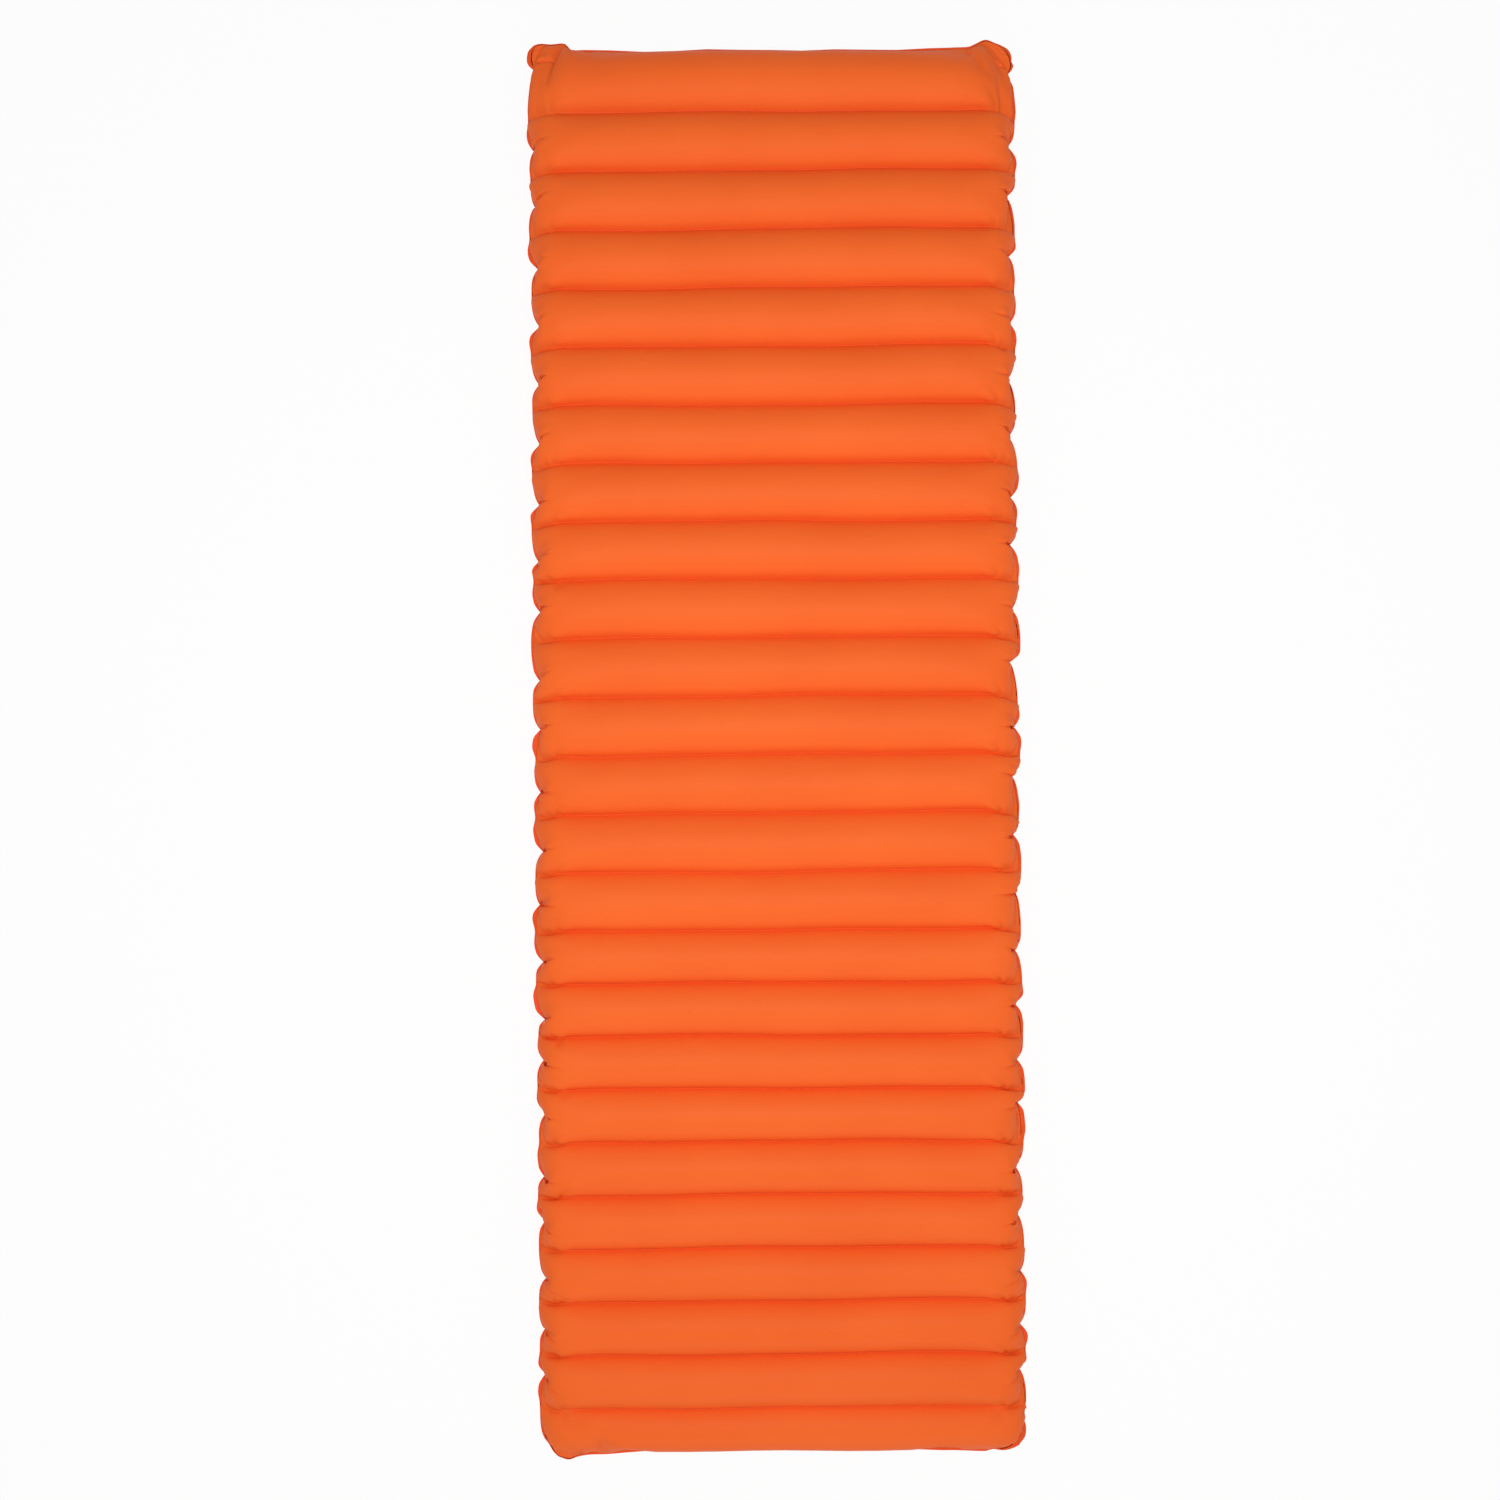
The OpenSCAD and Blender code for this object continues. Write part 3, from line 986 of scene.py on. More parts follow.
@dataclass
class PadSkin:
    """The two sheets of the pad, from the simulated sides and the plain baffles between them.

    A run is a distance from the edge weld along the flat cut. Columns by the valve are start, stop and step.
    A wave of the weld lines is its height, its radians per metre along x and along y, and its phase.
    """

    sizes: PadSizes
    baffles: list[Baffle]
    cloths: dict[Side, SideCloth]
    sheet: float = 0.6
    half_rows: tuple[float, ...] = (
        (0, 1.6, 3.4, 6, 9.2, 13, 17.2, 21.6, 26) + (30.2, 34, 37.2, 39.8, 41.8, 43.2, 44.2, 45)
    )
    near_runs: tuple[float, ...] = (
        (0, 1.5, 3, 5, 7, 9.4, 12, 15, 18.2) + (21.6, 25.2, 29, 33, 37.5, 42.5, 48, 54, 61)
    )
    far_runs: tuple[float, ...] = (70, 81, 94, 108, 125)
    valve_runs: tuple[float, float, float] = (66.0, 128.0, 4.2)
    valve_columns: tuple[float, float, float] = (-199.0, -150.0, 4.6)
    plain_half: float = 165.0
    plain_count: int = 9
    edge_blend: float = 14.0
    # Reach of the weld colour, which is the weld's own tone and painted shade in the seam valleys.
    weld_and_shade_width: float = 3.0
    weld_and_shade_full: float = 1.4
    weld_and_shade_past: float = 6.0
    weld_and_shade_fade: float = 8.0
    wander: float = 1.0
    wander_edge: float = 290.0
    wander_fade: float = 60.0
    wander_waves: tuple[tuple[float, ...], ...] = (
        (1.0, 7.1, 9.3, 0.4),
        (0.7, 15.7, -21.0, 1.9),
        (0.5, 31.0, 5.0, 0.0),
    )
    crease_depth: float = 5.2
    crease_vary: tuple[float, float] = (0.7, 1.2)
    crease_width: float = 2.1
    crease_full: float = 28.0
    crease_reach: tuple[float, float] = (46.0, 62.0)
    bend_full: float = 40.0
    bend_fade: float = 70.0
    bend_most: float = 0.23
    foot_lean: float = 0.32
    foot_from: float = 300.0
    foot_over: float = 400.0
    side_crease: float = 0.3
    side_vary: tuple[float, float] = (0.3, 1.2)
    side_place: tuple[float, float] = (7.0, 12.0)
    side_spread: float = 0.012
    side_width: float = 1.5
    side_start: float = 8.0
    gather_side: float = 26.0
    gather_share: float = 0.5
    gather_weld: float = 12.0
    gather_at: float = 46.0
    gather_run: float = 30.0
    rim_layers: tuple[float, ...] = (0.0, 0.5, 1.0)
    rim_lift: float = 0.4
    rim_span: int = 2
    rim_passes: int = 2
    rim_cut_step: float = 0.001
    grids: dict[Side, np.ndarray] = field(init=False)

    def __post_init__(self) -> None:
        """Blow up the two sides."""
        self.grids = {side: cloth.blow_up() for side, cloth in self.cloths.items()}

    def row_shares(self) -> np.ndarray:
        """Shares of a baffle's fabric at which the sheet has rows, close at the welds and at the notch."""
        half = np.array(self.half_rows) / self.half_rows[-1] / 2
        return np.concatenate([half, 1 - half[-2::-1]])

    def column_runs(self, face: Face, side: Side) -> np.ndarray:
        """Runs at which a side has columns, with close ones round the valve.

        Args:
            face: Which sheet.
            side: Which side.

        Returns:
            The runs, from the edge inwards.
        """
        by_valve = face is Face.UNDER and side is Side.LEFT
        far = np.arange(*self.valve_runs) if by_valve else self.far_runs
        return np.array([*self.near_runs, *far])

    def middle_columns(self, face: Face) -> np.ndarray:
        """Distances across the pad at which the middle of a sheet has columns, with close ones by the valve.

        Args:
            face: Which sheet.

        Returns:
            The distances from left to right.
        """
        plain = np.linspace(-self.plain_half, self.plain_half, self.plain_count)
        if face is Face.TOP:
            return plain
        return np.array([*np.arange(*self.valve_columns), *plain[1:]])

    def side_part(self, face: Face, side: Side) -> tuple[np.ndarray, np.ndarray]:
        """Read one simulated side at the sheet's own rows and columns, with the exact edge.

        Args:
            face: Which sheet.
            side: Which side.

        Returns:
            Points from the edge inwards, and their places on the flat cut.
        """
        cloth, grid = self.cloths[side], self.grids[side]
        known, u = cloth.row_shares(), cloth.cut_x()
        runs = self.column_runs(face, side)
        at = np.interp(cloth.cut - runs, u, np.arange(len(u)))
        drawn = (1 - smooth_step(runs / self.edge_blend))[None, :, None]
        starts = fabric_starts(self.baffles)
        parts, cuts = [], []
        for i, baffle in enumerate(self.baffles):
            first = i * cloth.rows_each
            shares = self.bent_shares(cloth.edge, i, runs)
            sim = np.swapaxes(sample_rows(np.swapaxes(grid[first : first + len(known)], 0, 1), at), 0, 1)
            rows = np.interp(shares, known, np.arange(len(known)))
            part = np.stack([sample_rows(sim[:, k], rows[:, k]) for k in range(len(runs))], 1)
            exact = cloth.edge.along(i, shares[:, 0])
            part[..., :2] += drawn * (exact[:, None, :2] - part[:, :1, :2])
            part += self.creases(cloth.edge, i, shares * baffle.length, runs)[..., None] * inwards(part)
            parts.append(part)
            cuts.append(starts[i] + shares * baffle.length)
        points = join_rows(parts)
        points[..., 0] *= side.value
        cut = np.stack(np.broadcast_arrays(side.value * (cloth.cut - runs), -join_rows(cuts)), -1)
        return points, cut

    def crease_line(self, edge: SideEdge, i: int, runs: np.ndarray) -> np.ndarray:
        """Find the main crease that runs in from a notch.

        Args:
            edge: Edge that the notch is in.
            i: Which baffle.
            runs: Runs of the columns.

        Returns:
            Place of the crease along the baffle's fabric at each run.
        """
        baffle = self.baffles[i]
        lean = edge.lean[i] + self.foot_lean * smooth_step((-baffle.y - self.foot_from) / self.foot_over)
        return edge.notch_share(i) * baffle.length + lean * runs

    def bent_shares(self, edge: SideEdge, i: int, runs: np.ndarray) -> np.ndarray:
        """Shares of a baffle's fabric at each row and column of a side, with a row along the main crease.

        Args:
            edge: Edge that the crease starts from.
            i: Which baffle.
            runs: Runs of the columns.

        Returns:
            Shares as rows by columns.
        """
        shares = self.row_shares()[:, None]
        middle = self.crease_line(edge, i, runs) / self.baffles[i].length
        bend = (middle - 0.5) * (1 - smooth_step((runs - self.bend_full) / self.bend_fade))
        return shares + np.clip(bend, -self.bend_most, self.bend_most) * 4 * shares * (1 - shares)

    def creases(self, edge: SideEdge, i: int, along: np.ndarray, runs: np.ndarray) -> np.ndarray:
        """Depth of the short creases that run in from a notch: the main one and a shallow one on each side.

        Args:
            edge: Edge that the notch is in.
            i: Which baffle.
            along: Place of each point along the baffle's fabric, as rows by columns.
            runs: Runs of the columns.

        Returns:
            Depths as rows by columns.
        """
        if i == len(self.baffles) - 1:
            return np.zeros(along.shape)
        draws = np.random.default_rng(edge.seed * 100 + i)
        line = self.crease_line(edge, i, runs)
        reach = draws.uniform(*self.crease_reach)
        strength = draws.uniform(*self.crease_vary)
        fade = 1 - smooth_step((runs - self.crease_full) / (reach - self.crease_full))
        depth = self.crease_depth * strength * np.exp(-np.abs(along - line) / self.crease_width) * fade
        near, far = self.side_place
        for place in (draws.uniform(-far, -near), draws.uniform(near, far)):
            off = along - line - place * (1 + self.side_spread * runs)
            dent = np.exp(-((off / (self.side_width * self.crease_width)) ** 2))
            share = self.side_crease * self.crease_depth * draws.uniform(*self.side_vary)
            depth += share * dent * fade * smooth_step(runs / self.side_start)
        return depth

    def middle_part(self, face: Face) -> tuple[np.ndarray, np.ndarray]:
        """Draw the plain baffles between the sides.

        Args:
            face: Which sheet.

        Returns:
            Points, and their places on the flat cut.
        """
        columns, shares = self.middle_columns(face), self.row_shares()
        starts = fabric_starts(self.baffles)
        line = join_rows([baffle.at(shares) for baffle in self.baffles])
        along = join_rows([start + shares * baffle.length for start, baffle in zip(starts, self.baffles)])
        points = np.zeros((len(line), len(columns), 3))
        points[..., 0] = columns
        points[..., 1:] = line[:, None]
        cut = np.stack(np.meshgrid(columns, -along), -1)
        return points, cut

    def edge_rows(self, side: Side) -> np.ndarray:
        """Edge of a side at the sheet's own rows, in the columns of half_bulge."""
        edge, rim = self.cloths[side].edge, np.zeros(1)
        shares = [self.bent_shares(edge, i, rim)[:, 0] for i in range(len(self.baffles))]
        return join_rows([edge.along(i, share) for i, share in enumerate(shares)])

    def sheet_grid(self, face: Face) -> tuple[np.ndarray, np.ndarray]:
        """Join the two sides and the middle, and let the weld lines wander a little.

        Args:
            face: Which sheet.

        Returns:
            Points over the middle plane, and their places on the flat cut.
        """
        left, left_cut = self.side_part(face, Side.LEFT)
        right, right_cut = self.side_part(face, Side.RIGHT)
        middle, middle_cut = self.middle_part(face)
        points = np.concatenate([left, middle, right[:, ::-1]], 1)
        cut = np.concatenate([left_cut, middle_cut, right_cut[:, ::-1]], 1)
        inside = smooth_step((self.wander_edge - np.abs(points[..., 0])) / self.wander_fade)
        x, y = points[..., 0] * MM, points[..., 1] * MM
        waves = [high * np.sin(by_x * x + by_y * y + phase) for high, by_x, by_y, phase in self.wander_waves]
        points[..., 1] += self.wander * inside * sum(waves)
        return points, cut

    def from_weld(self, cut: np.ndarray) -> np.ndarray:
        """Distance of each point of the flat cut from the nearest weld line."""
        lines = -fabric_starts(self.baffles)[1:-1]
        return np.abs(cut[..., 1][..., None] - lines).min(-1)

    def weld_tone_and_seam_shade(self, points: np.ndarray, cut: np.ndarray) -> np.ndarray:
        """How much of the weld colour shows at each point: the weld's own tone, and painted shade in the
        seam's valley.

        Args:
            points: The sheet's points.
            cut: Their places on the flat cut.

        Returns:
            Shares from 0 to 1.
        """
        past = self.sizes.web_half + self.weld_and_shade_past - np.abs(points[..., 0])
        inside = smooth_step(past / self.weld_and_shade_fade)
        return inside * smooth_step(self.weld_and_shade_full - self.from_weld(cut) / self.weld_and_shade_width)

    def gather_mask(self, cut: np.ndarray) -> np.ndarray:
        """How much the fabric is gathered at each point: along the sides and at the ends of the weld lines.

        Args:
            cut: Places of the points on the flat cut.

        Returns:
            Shares from 0 to 1.
        """
        runs = self.cloths[Side.LEFT].cut - np.abs(cut[..., 0])
        sides = smooth_step(1 - runs / self.gather_side)
        at_weld = smooth_step(1 - self.from_weld(cut) / self.gather_weld)
        at_end = smooth_step(1 - np.abs(runs - self.gather_at) / self.gather_run)
        return np.maximum(sides, self.gather_share * at_weld * at_end)

    def rim_ring(self, points: np.ndarray, face: Face) -> np.ndarray:
        """Lay the welded rim round the edge.

        Args:
            points: The sheet's points.
            face: Which sheet.

        Returns:
            Layers of the rim by points round the edge by 3, clockwise from the head's left end.
        """
        soft = points.copy()
        width = self.cloths[Side.LEFT].edge.end_width(points[..., 0])
        curl = np.zeros(points.shape[:2])
        seams = np.array(self.sizes.seam_y)
        for side, cloth in self.cloths.items():
            runs = self.column_runs(face, side)
            columns = np.arange(len(runs)) if side is Side.LEFT else -1 - np.arange(len(runs))
            shares = 1 - runs / (cloth.cut - cloth.inner)
            for row, end in ENDS:
                width[row, columns] = cloth.edge.end_row(end, cloth.inner, shares)[:, 2]
            border, edge = columns[0], self.edge_rows(side)
            soft[:, border, :2] = edge[:, 2:4] * (side.value, 1)
            width[:, border] = edge[:, 4]
            bend = np.interp(-points[:, border, 1], -seams, cloth.edge.curl[:-1])
            curl[:, border] = bend * smooth_step(width[:, border] / self.sizes.rim)
        root, middle = around(points), around(soft)
        ahead = np.roll(middle, -self.rim_span, 0) - np.roll(middle, self.rim_span, 0)
        out = unit(np.stack([-ahead[:, 1], ahead[:, 0], 0 * ahead[:, 0]], 1))
        for _ in range(self.rim_passes):
            out = (np.roll(out, 1, 0) + out + np.roll(out, -1, 0)) / 3
        ring = []
        for share in self.rim_layers:
            at = root + (middle - root) * min(1.0, 2 * share) + out * (around(width)[:, None] * share)
            at[:, 2] = root[:, 2] + around(curl) * share**2
            at[:, 2] += face.value * self.rim_lift * (1 - share)
            ring.append(at)
        return np.array(ring)

    def build(self, face: Face, name: str, seat: ValveSeat | None = None) -> bpy.types.Object:
        """Make one sheet with its half of the rim.

        Args:
            face: Which sheet.
            name: Name of the piece.
            seat: The hollow for the valve, if the sheet has one.

        Returns:
            The piece, with the rim in its second material slot.
        """
        points, cut = self.sheet_grid(face)
        ring = self.rim_ring(points, face)
        if face is Face.UNDER:
            points[..., 2] = np.maximum(-points[..., 2], -self.sizes.mid_z)
        gone = seat.shape(points) if seat else np.zeros(points.shape[:2], bool)
        quads = grid_quads(*gone.shape)
        loop = around(np.arange(gone.size).reshape(gone.shape))
        outer = len(ring) - 1
        layers = [loop, *(gone.size + np.arange(outer * len(loop)).reshape(outer, -1))]
        rim = np.concatenate(
            [np.stack([a, b, np.roll(b, -1), np.roll(a, -1)], 1) for a, b in zip(layers, layers[1:])]
        )
        faces = np.concatenate([quads[~gone.ravel()[quads].any(-1)], rim])
        if face is Face.UNDER:
            faces = faces[:, ::-1]
        points.reshape(-1, 3)[loop] = ring[0]
        everything = np.concatenate([points.reshape(-1, 3), *ring[1:]]) + (0, 0, self.sizes.mid_z)
        kept, corners = np.unique(faces, return_inverse=True)
        piece = mesh_object(name, everything[kept], corners.reshape(-1, 4).tolist())
        mesh = piece.data
        # weld is the mask of the weld colour: the weld's own tone and painted shade in the seam valleys;
        # gather only bends the bump.
        for label, mask in (("weld", self.weld_tone_and_seam_shade(points, cut)), ("gather", self.gather_mask(cut))):
            values = np.concatenate([mask.ravel(), *[around(mask)] * outer])
            attribute = mesh.attributes.new(label, "FLOAT", "POINT")
            attribute.data.foreach_set("value", values[kept].astype(np.float32))
        rim_cut = [around(cut) + self.rim_cut_step * k for k in range(1, len(ring))]
        uv = (np.concatenate([cut.reshape(-1, 2), *rim_cut])[kept] * MM)[corners.ravel()]
        mesh.uv_layers.new(name="cut").data.foreach_set("uv", uv.astype(np.float32).ravel())
        on_rim = np.arange(len(faces)) >= len(faces) - len(rim)
        mesh.polygons.foreach_set("material_index", on_rim.astype(np.int32))
        mark_border_sharp(mesh)
        thick = piece.modifiers.new("sheet thickness", "SOLIDIFY")
        thick.thickness = self.sheet * MM
        thick.offset = -1.0
        return piece


def inwards(grid: np.ndarray) -> np.ndarray:
    """Unit direction into the pad at each point of a grid of the upper sheet, with x away from its middle."""
    return unit(np.cross(np.gradient(grid, axis=0), np.gradient(grid, axis=1)))


def around(grid: np.ndarray) -> np.ndarray:
    """Read the border of a grid: its first row, last column down, last row back and first column up."""
    return np.concatenate([grid[0], grid[1:, -1], grid[-1, -2::-1], grid[-2:0:-1, 0]])


@dataclass(frozen=True)
class ValveSeat:
    """Hollow of the underside round the valve: a flat for its flange, and a slope out to the baffle."""

    sizes: PadSizes
    baffle: Baffle
    x: float
    y: float
    floor: float
    hole: float = 19.1
    hole_share: float = 0.9
    hole_blend: float = 14.0
    flat: float = 29.0
    run: float = 18.0
    margin: float = 4.0
    round_to: float = 21.0
    blend_to: float = 34.0
    steepest: float = 0.95

    @classmethod
    def from_frame(cls, sizes: PadSizes, baffles: list[Baffle], neck: float = 9.0) -> ValveSeat:
        """Find the seat from the valve's nodes.

        Args:
            sizes: The pad's sizes.
            baffles: The pad's baffles.
            neck: How far the valve's neck reaches into the pad.

        Returns:
            The seat.
        """
        flap = np.array(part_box("check_flap")).mean(0) / MM
        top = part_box("valve_base")[1][2] / MM
        baffle = min(baffles, key=lambda b: abs(b.y - flap[1]))
        return cls(sizes, baffle, flap[0], flap[1], top - neck - sizes.mid_z)

    def shape(self, points: np.ndarray) -> np.ndarray:
        """Turn the sheet's grid into rings round the valve and press the hollow into it.

        Args:
            points: The sheet's points about the middle plane, changed in place.

        Returns:
            Which points lie in the hole.
        """
        dx, dy = points[..., 0] - self.x, points[..., 1] - self.y
        square = np.maximum(np.abs(dx), np.abs(dy))
        inside = square < self.hole * self.hole_share
        border = square[~inside].min()
        reach = np.hypot(dx, dy) + TINY
        rings = 1 - smooth_step((square - self.round_to) / (self.blend_to - self.round_to))
        grown = square + (self.hole - border) * (1 - smooth_step((square - border) / self.hole_blend))
        scale = 1 + rings * (grown / reach - 1)
        scale = np.where(square < 2 * self.blend_to, scale, 1.0)
        points[..., 0] = self.x + dx * scale
        points[..., 1] = self.y + dy * scale
        off = np.clip((points[..., 1] - self.baffle.y) / self.baffle.radius, -self.steepest, self.steepest)
        tube = np.maximum(-(self.baffle.z + self.baffle.radius * np.sqrt(1 - off**2)), -self.sizes.mid_z)
        points[..., 2] += rings * (tube - points[..., 2]) * (square < self.blend_to)
        radius = np.hypot(points[..., 0] - self.x, points[..., 1] - self.y)
        deep = self.floor + self.sizes.mid_z
        slope = self.floor - np.maximum(0, radius - self.flat) * deep / self.run
        near = radius < self.flat + self.run + self.margin
        points[..., 2] = np.where(near, np.maximum(points[..., 2], slope), points[..., 2])
        return inside


@dataclass(frozen=True)
class BaffleWebs:
    """The inner strips that tie the sheets together, made by a node tree from a point at each weld line."""

    sizes: PadSizes
    film: float = 0.3
    bay: float = 10.0
    bay_power: float = 9.0
    columns: int = 44
    rows: int = 9

    def tree(self, material: bpy.types.Material) -> bpy.types.NodeTree:
        """Build the node tree.

        Args:
            material: Finish of the strips.

        Returns:
            A tree that puts a strip on each point, with its ends drawn in between the sheets.
        """
        tree = bpy.data.node_groups.new("baffle_webs", "GeometryNodeTree")
        face = tree.interface
        face.new_socket("Geometry", in_out="INPUT", socket_type="NodeSocketGeometry")
        for name in self.inputs():
            face.new_socket(name, in_out="INPUT", socket_type="NodeSocketFloat")
        face.new_socket("Geometry", in_out="OUTPUT", socket_type="NodeSocketGeometry")
        given = add_node(tree, "NodeGroupInput").outputs
        sides = {0: given["Length"], 1: given["Film"], 2: given["Height"]}
        size = add_node(tree, "ShaderNodeCombineXYZ", sides).outputs[0]
        cuts = {"Size": size, "Vertices X": self.columns, "Vertices Y": 2, "Vertices Z": self.rows}
        strip = add_node(tree, "GeometryNodeMeshCube", cuts).outputs[0]
        spot = add_node(tree, "GeometryNodeInputPosition").outputs[0]
        place = add_node(tree, "ShaderNodeSeparateXYZ", {0: spot})
        values = {name: given[name] for name in self.inputs()}
        values.update(x=place.outputs[0], z=place.outputs[2])
        steps = {
            "half_x": ("DIVIDE", "Length", 2.0),
            "half_z": ("DIVIDE", "Height", 2.0),
            "share_x": ("DIVIDE", "x", "half_x"),
            "share_z": ("DIVIDE", "z", "half_z"),
            "ends": ("POWER", "share_x", self.bay_power),
            "curve": ("MULTIPLY", "share_z", "share_z"),
            "hollow": ("SUBTRACT", 1.0, "curve"),
            "pull": ("MULTIPLY", "ends", "hollow"),
            "back": ("MULTIPLY", "pull", "Bay"),
            "inwards": ("MULTIPLY", "back", -1.0),
        }
        for name, (operation, *terms) in steps.items():
            links = {k: values.get(term, term) for k, term in enumerate(terms)}
            values[name] = add_node(tree, "ShaderNodeMath", links, operation=operation).outputs[0]
        offset = add_node(tree, "ShaderNodeCombineXYZ", {0: values["inwards"]}).outputs[0]
        shaped = add_node(tree, "GeometryNodeSetPosition", {"Geometry": strip, "Offset": offset}).outputs[0]
        spread = {"Points": given["Geometry"], "Instance": shaped}
        copies = add_node(tree, "GeometryNodeInstanceOnPoints", spread).outputs[0]
        real = add_node(tree, "GeometryNodeRealizeInstances", {0: copies}).outputs[0]
        dressed = add_node(tree, "GeometryNodeSetMaterial", {"Geometry": real, "Material": material})
        add_node(tree, "NodeGroupOutput", {0: dressed.outputs[0]})
        return tree

    def inputs(self) -> dict[str, float]:
        """Sizes of a strip in millimetres, by the names of the tree's inputs."""
        length, height = 2 * self.sizes.web_half, 2 * self.sizes.web_edge
        return {"Length": length, "Film": self.film, "Height": height, "Bay": self.bay}

    def build(self, name: str, material: bpy.types.Material) -> bpy.types.Object:
        """Make all strips as one plain mesh.

        Args:
            name: Name of the piece.
            material: Finish of the strips.

        Returns:
            The piece.
        """
        points = np.array([(0.0, y, self.sizes.mid_z) for y in self.sizes.seam_y])
        seed = mesh_object(f"{name}_points", points, [])
        nodes = seed.modifiers.new("webs", "NODES")
        nodes.node_group = self.tree(material)
        for item in nodes.node_group.interface.items_tree:
            if item.in_out == "INPUT" and item.name in self.inputs():
                nodes[item.identifier] = self.inputs()[item.name] * MM
        shown = seed.evaluated_get(bpy.context.evaluated_depsgraph_get())
        mesh = bpy.data.meshes.new_from_object(shown)
        mesh.name = name
        piece = bpy.data.objects.new(name, mesh)
        bpy.context.scene.collection.objects.link(piece)
        bpy.data.objects.remove(seed)
        return piece


@dataclass(frozen=True)
class Softbox:
    """A square soft light, with its places and the length of its side in metres and its power in watts."""

    name: str
    place: tuple[float, float, float]
    aim: tuple[float, float, float]
    size: float
    watts: float

    def build(self) -> None:
        """Hang the light and turn it to what it lights."""
        data = bpy.data.lights.new(self.name, "AREA")
        data.size = self.size
        data.energy = self.watts
        lamp = bpy.data.objects.new(self.name, data)
        lamp.location = self.place
        toward = np.array(self.aim) - np.array(self.place)
        pitch = math.acos(-toward[2] / np.linalg.norm(toward))
        lamp.rotation_euler = (pitch, 0.0, math.atan2(-toward[0], toward[1]))
        bpy.context.scene.collection.objects.link(lamp)


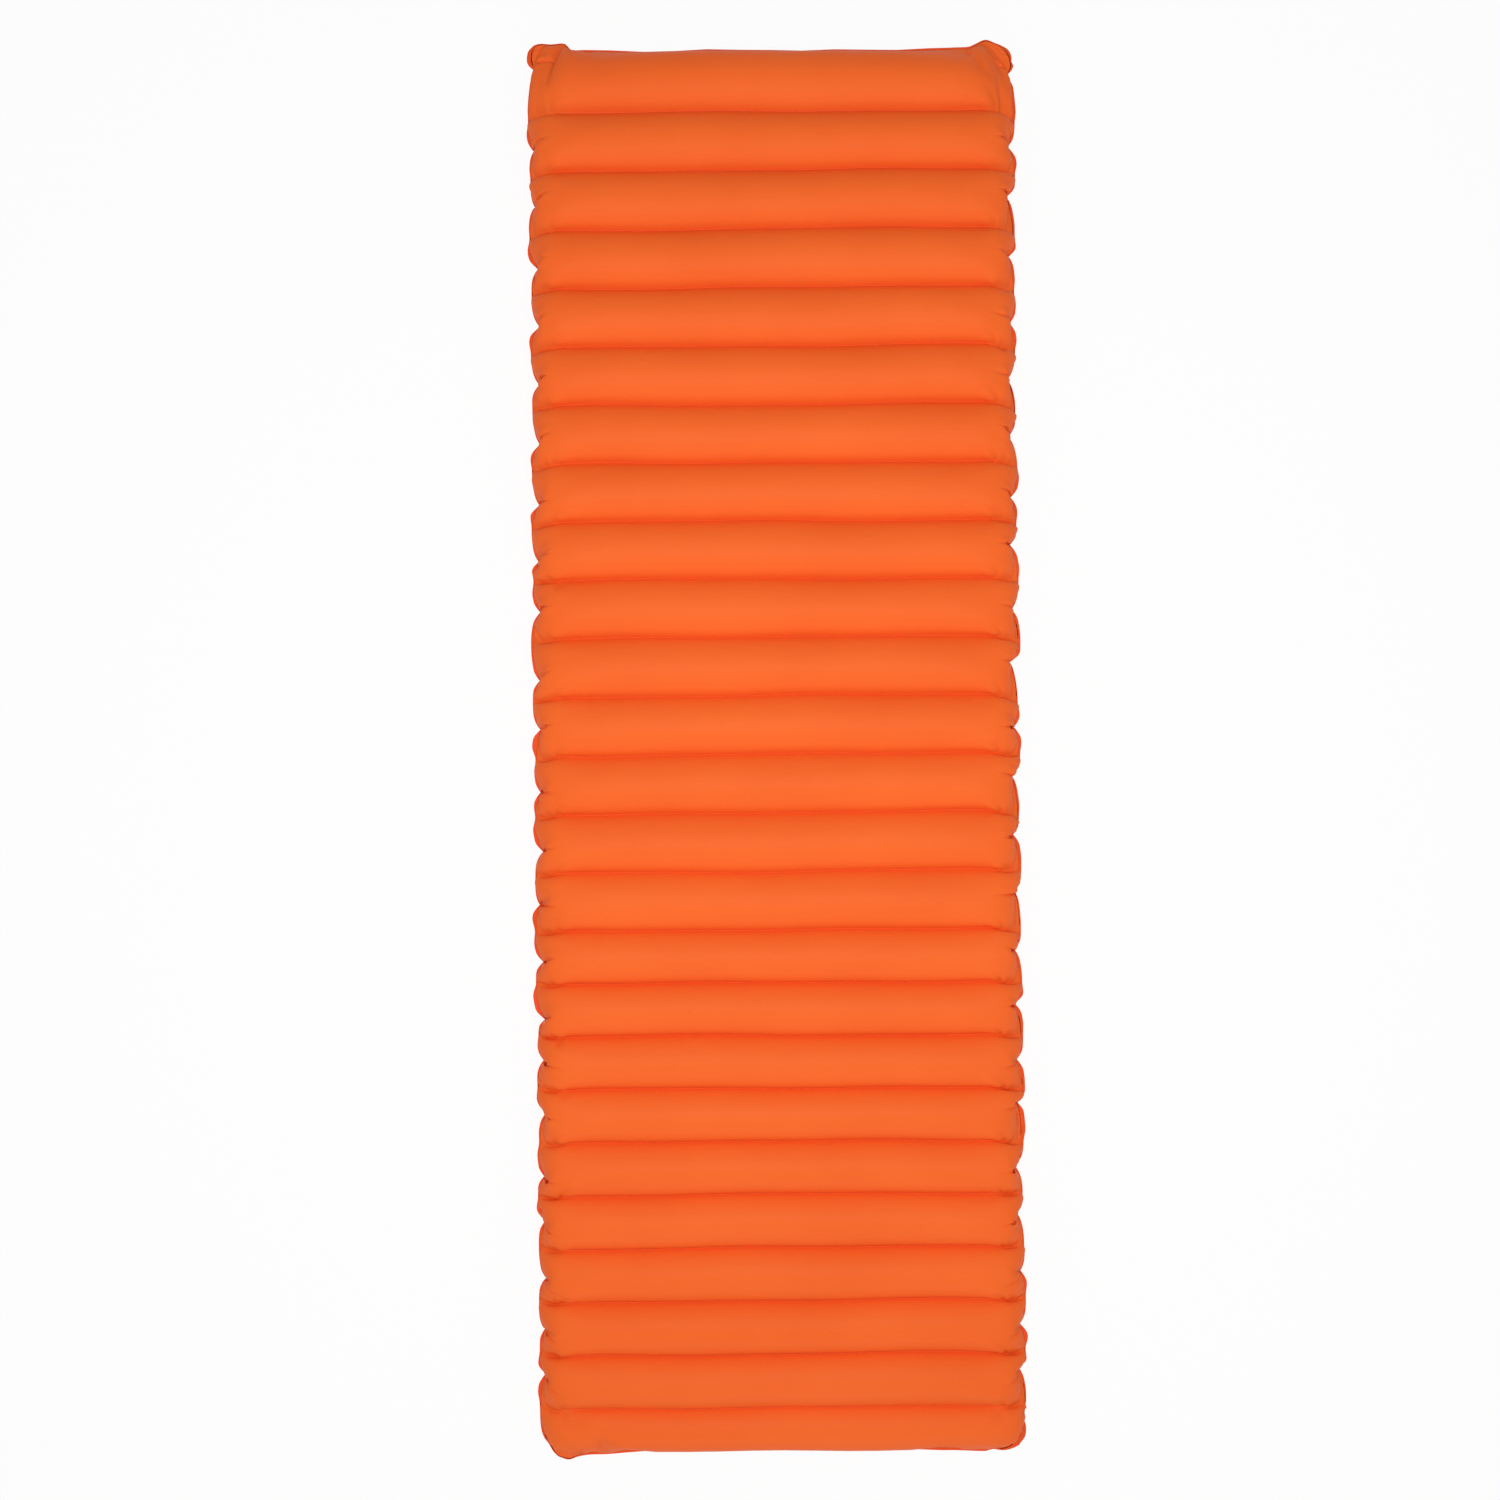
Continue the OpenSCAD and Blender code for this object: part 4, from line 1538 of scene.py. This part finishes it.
@dataclass(frozen=True)
class Studio:
    """Pale floor, soft light and a camera over the pad, as in the photograph.

    photo_scale is in millimetres per pixel of the photograph at the rim, and centre_px is the pad's middle.
    """

    sizes: PadSizes
    distance: float = 1900.0
    photo_scale: float = 1.3034
    centre_px: tuple[float, float] = (777.0, 750.0)
    lean_deg: float = 0.53
    sensor: float = 36.0
    sight: float = 50000.0
    white: str = "FFFFFF"
    fill: float = 0.46
    floor_half: float = 6000.0
    floor_gap: float = 0.6
    floor_colour: str = "F4F4F4"
    floor_roughness: float = 0.9
    floor_glow: float = 0.92
    softboxes: tuple[Softbox, ...] = (
        Softbox("key_softbox", (0.2, -6.4, 2.8), (0.0, 0.0, 0.0), 2.6, 71.0),
        Softbox("top_softbox", (0.0, -0.05, 2.2), (0.0, -0.05, 0.0), 1.0, 26.5),
        Softbox("under_softbox", (-0.6, -0.4, -2.6), (0.0, 0.0, 0.0), 1.6, 34.0),
    )

    def camera(self) -> None:
        """Hang the camera over the pad, looking straight down, with the pad a little right of the middle."""
        data = bpy.data.cameras.new("photo_camera")
        data.sensor_width = self.sensor
        data.lens = self.sensor * self.distance / (PHOTO_PX * self.photo_scale)
        data.clip_end = self.sight * MM
        camera = bpy.data.objects.new("photo_camera", data)
        off = (PHOTO_PX / 2 - np.array(self.centre_px)) * self.photo_scale
        camera.location = (off[0] * MM, -off[1] * MM, (self.sizes.mid_z + self.distance) * MM)
        camera.rotation_euler = (0.0, 0.0, -math.radians(self.lean_deg))
        bpy.context.scene.collection.objects.link(camera)
        bpy.context.scene.camera = camera

    def world(self) -> None:
        """Fill the shadows evenly, and show white to the camera."""
        world = bpy.data.worlds.new("studio")
        world.use_nodes = True
        tree = world.node_tree
        path = add_node(tree, "ShaderNodeLightPath").outputs
        rays = {0: path["Is Camera Ray"], 1: path["Is Transmission Ray"]}
        seen = add_node(tree, "ShaderNodeMath", rays, operation="MAXIMUM").outputs[0]
        strength = add_node(tree, "ShaderNodeMapRange", {0: seen, 3: self.fill, 4: 1.0}).outputs[0]
        feed(tree, tree.nodes["Background"], {"Color": linear(self.white), "Strength": strength})
        bpy.context.scene.world = world

    def floor(self) -> None:
        """Lay a pale floor that is white to the camera, keeps the pad's shadow and is clear from below."""
        half, level = self.floor_half, -self.floor_gap
        corners = [(-half, -half, level), (half, -half, level), (half, half, level), (-half, half, level)]
        floor = mesh_object("floor", np.array(corners), [[0, 1, 2, 3]])
        material, tree, shader = new_material("paper_floor")
        feed(tree, shader, {"Base Color": linear(self.floor_colour), "Roughness": self.floor_roughness})
        glow = add_node(tree, "ShaderNodeEmission", {"Color": linear(self.white), "Strength": 1.0})
        path = add_node(tree, "ShaderNodeLightPath").outputs
        rays = {0: path["Is Camera Ray"], 1: path["Is Glossy Ray"]}
        seen = add_node(tree, "ShaderNodeMath", rays, operation="MAXIMUM").outputs[0]
        lit = {0: seen, 1: self.floor_glow}
        share = add_node(tree, "ShaderNodeMath", lit, operation="MULTIPLY").outputs[0]
        paper = add_node(tree, "ShaderNodeMixShader", {0: share, 1: shader.outputs[0], 2: glow.outputs[0]})
        back = add_node(tree, "ShaderNodeNewGeometry").outputs["Backfacing"]
        passed = {0: back, 1: path["Is Shadow Ray"]}
        clear = add_node(tree, "ShaderNodeMath", passed, operation="MAXIMUM").outputs[0]
        through = add_node(tree, "ShaderNodeBsdfTransparent").outputs[0]
        shown = add_node(tree, "ShaderNodeMixShader", {0: clear, 1: paper.outputs[0], 2: through})
        feed(tree, tree.nodes["Material Output"], {"Surface": shown.outputs[0]})
        floor.data.materials.append(material)

    def build(self) -> None:
        """Set up the whole studio."""
        self.camera()
        for softbox in self.softboxes:
            softbox.build()
        self.world()
        self.floor()
        bpy.context.scene.view_settings.view_transform = "Standard"


def main() -> None:
    """Build the pad's looks on the frame."""
    logging.basicConfig(level=logging.INFO, format="%(name)s: %(message)s")
    for left_over in list(bpy.data.objects):
        bpy.data.objects.remove(left_over)
    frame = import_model()
    sizes = PadSizes.from_frame(frame["nodes"])
    baffles = baffles_of(sizes)
    Studio(sizes).build()
    # The third colour of each is the weld colour: partly the weld's own tone, partly painted shade in the
    # seam valleys.
    nylon = CoatedNylon("coated_nylon", "F76C2C", "F16528", "F26029").build()
    rim_nylon = CoatedNylon("welded_nylon", "EE5A29", "E65024", "E65024", roughness=0.42).build()
    film = WebFilm().build()
    urethane = Moulded("moulded_urethane", "303134", "27282A", 0.46, 1.5).build()
    silicone = Moulded("silicone_rubber", "D6D5CF", "C9C7C0", 0.4, 1.42).build()

    edges = {
        Side.LEFT: SideEdge(sizes, Side.LEFT, seed=10),
        Side.RIGHT: SideEdge(sizes, Side.RIGHT, seed=12, notch_shift=(-8.0, 11.0), apex_shift=(-11.0, -1.0)),
    }
    cloths = {side: SideCloth(sizes, baffles, edge) for side, edge in edges.items()}
    skin = PadSkin(sizes, baffles, cloths)
    top = skin.build(Face.TOP, "top_fabric")
    under = skin.build(Face.UNDER, "under_fabric", ValveSeat.from_frame(sizes, baffles))
    for piece, node, slot in ((top, "top_sheet", "sheet"), (under, "bottom_sheet", "sheet_under")):
        piece.data.materials.append(nylon)
        piece.data.materials.append(rim_nylon)
        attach(piece, "root")
        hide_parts(node)
        LOG.info("%s: %d faces", piece.name, len(piece.data.polygons))

    webs = BaffleWebs(sizes).build("baffle_webs", film)
    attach(webs, "root")
    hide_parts(*[name for name in frame["nodes"] if name.startswith("baffle_web_")])
    LOG.info("%s: %d faces", webs.name, len(webs.data.polygons))

    finishes = dict.fromkeys(("valve_base", "inflate_plug", "flap_cage", "seal_cap"), urethane)
    finishes["check_flap"] = silicone
    for name, material in finishes.items():
        node = frame["nodes"][name]
        node.data.materials.clear()
        node.data.materials.append(material)
        LOG.info("%s: %s", name, material.name)


if __name__ == "__main__":
    main()
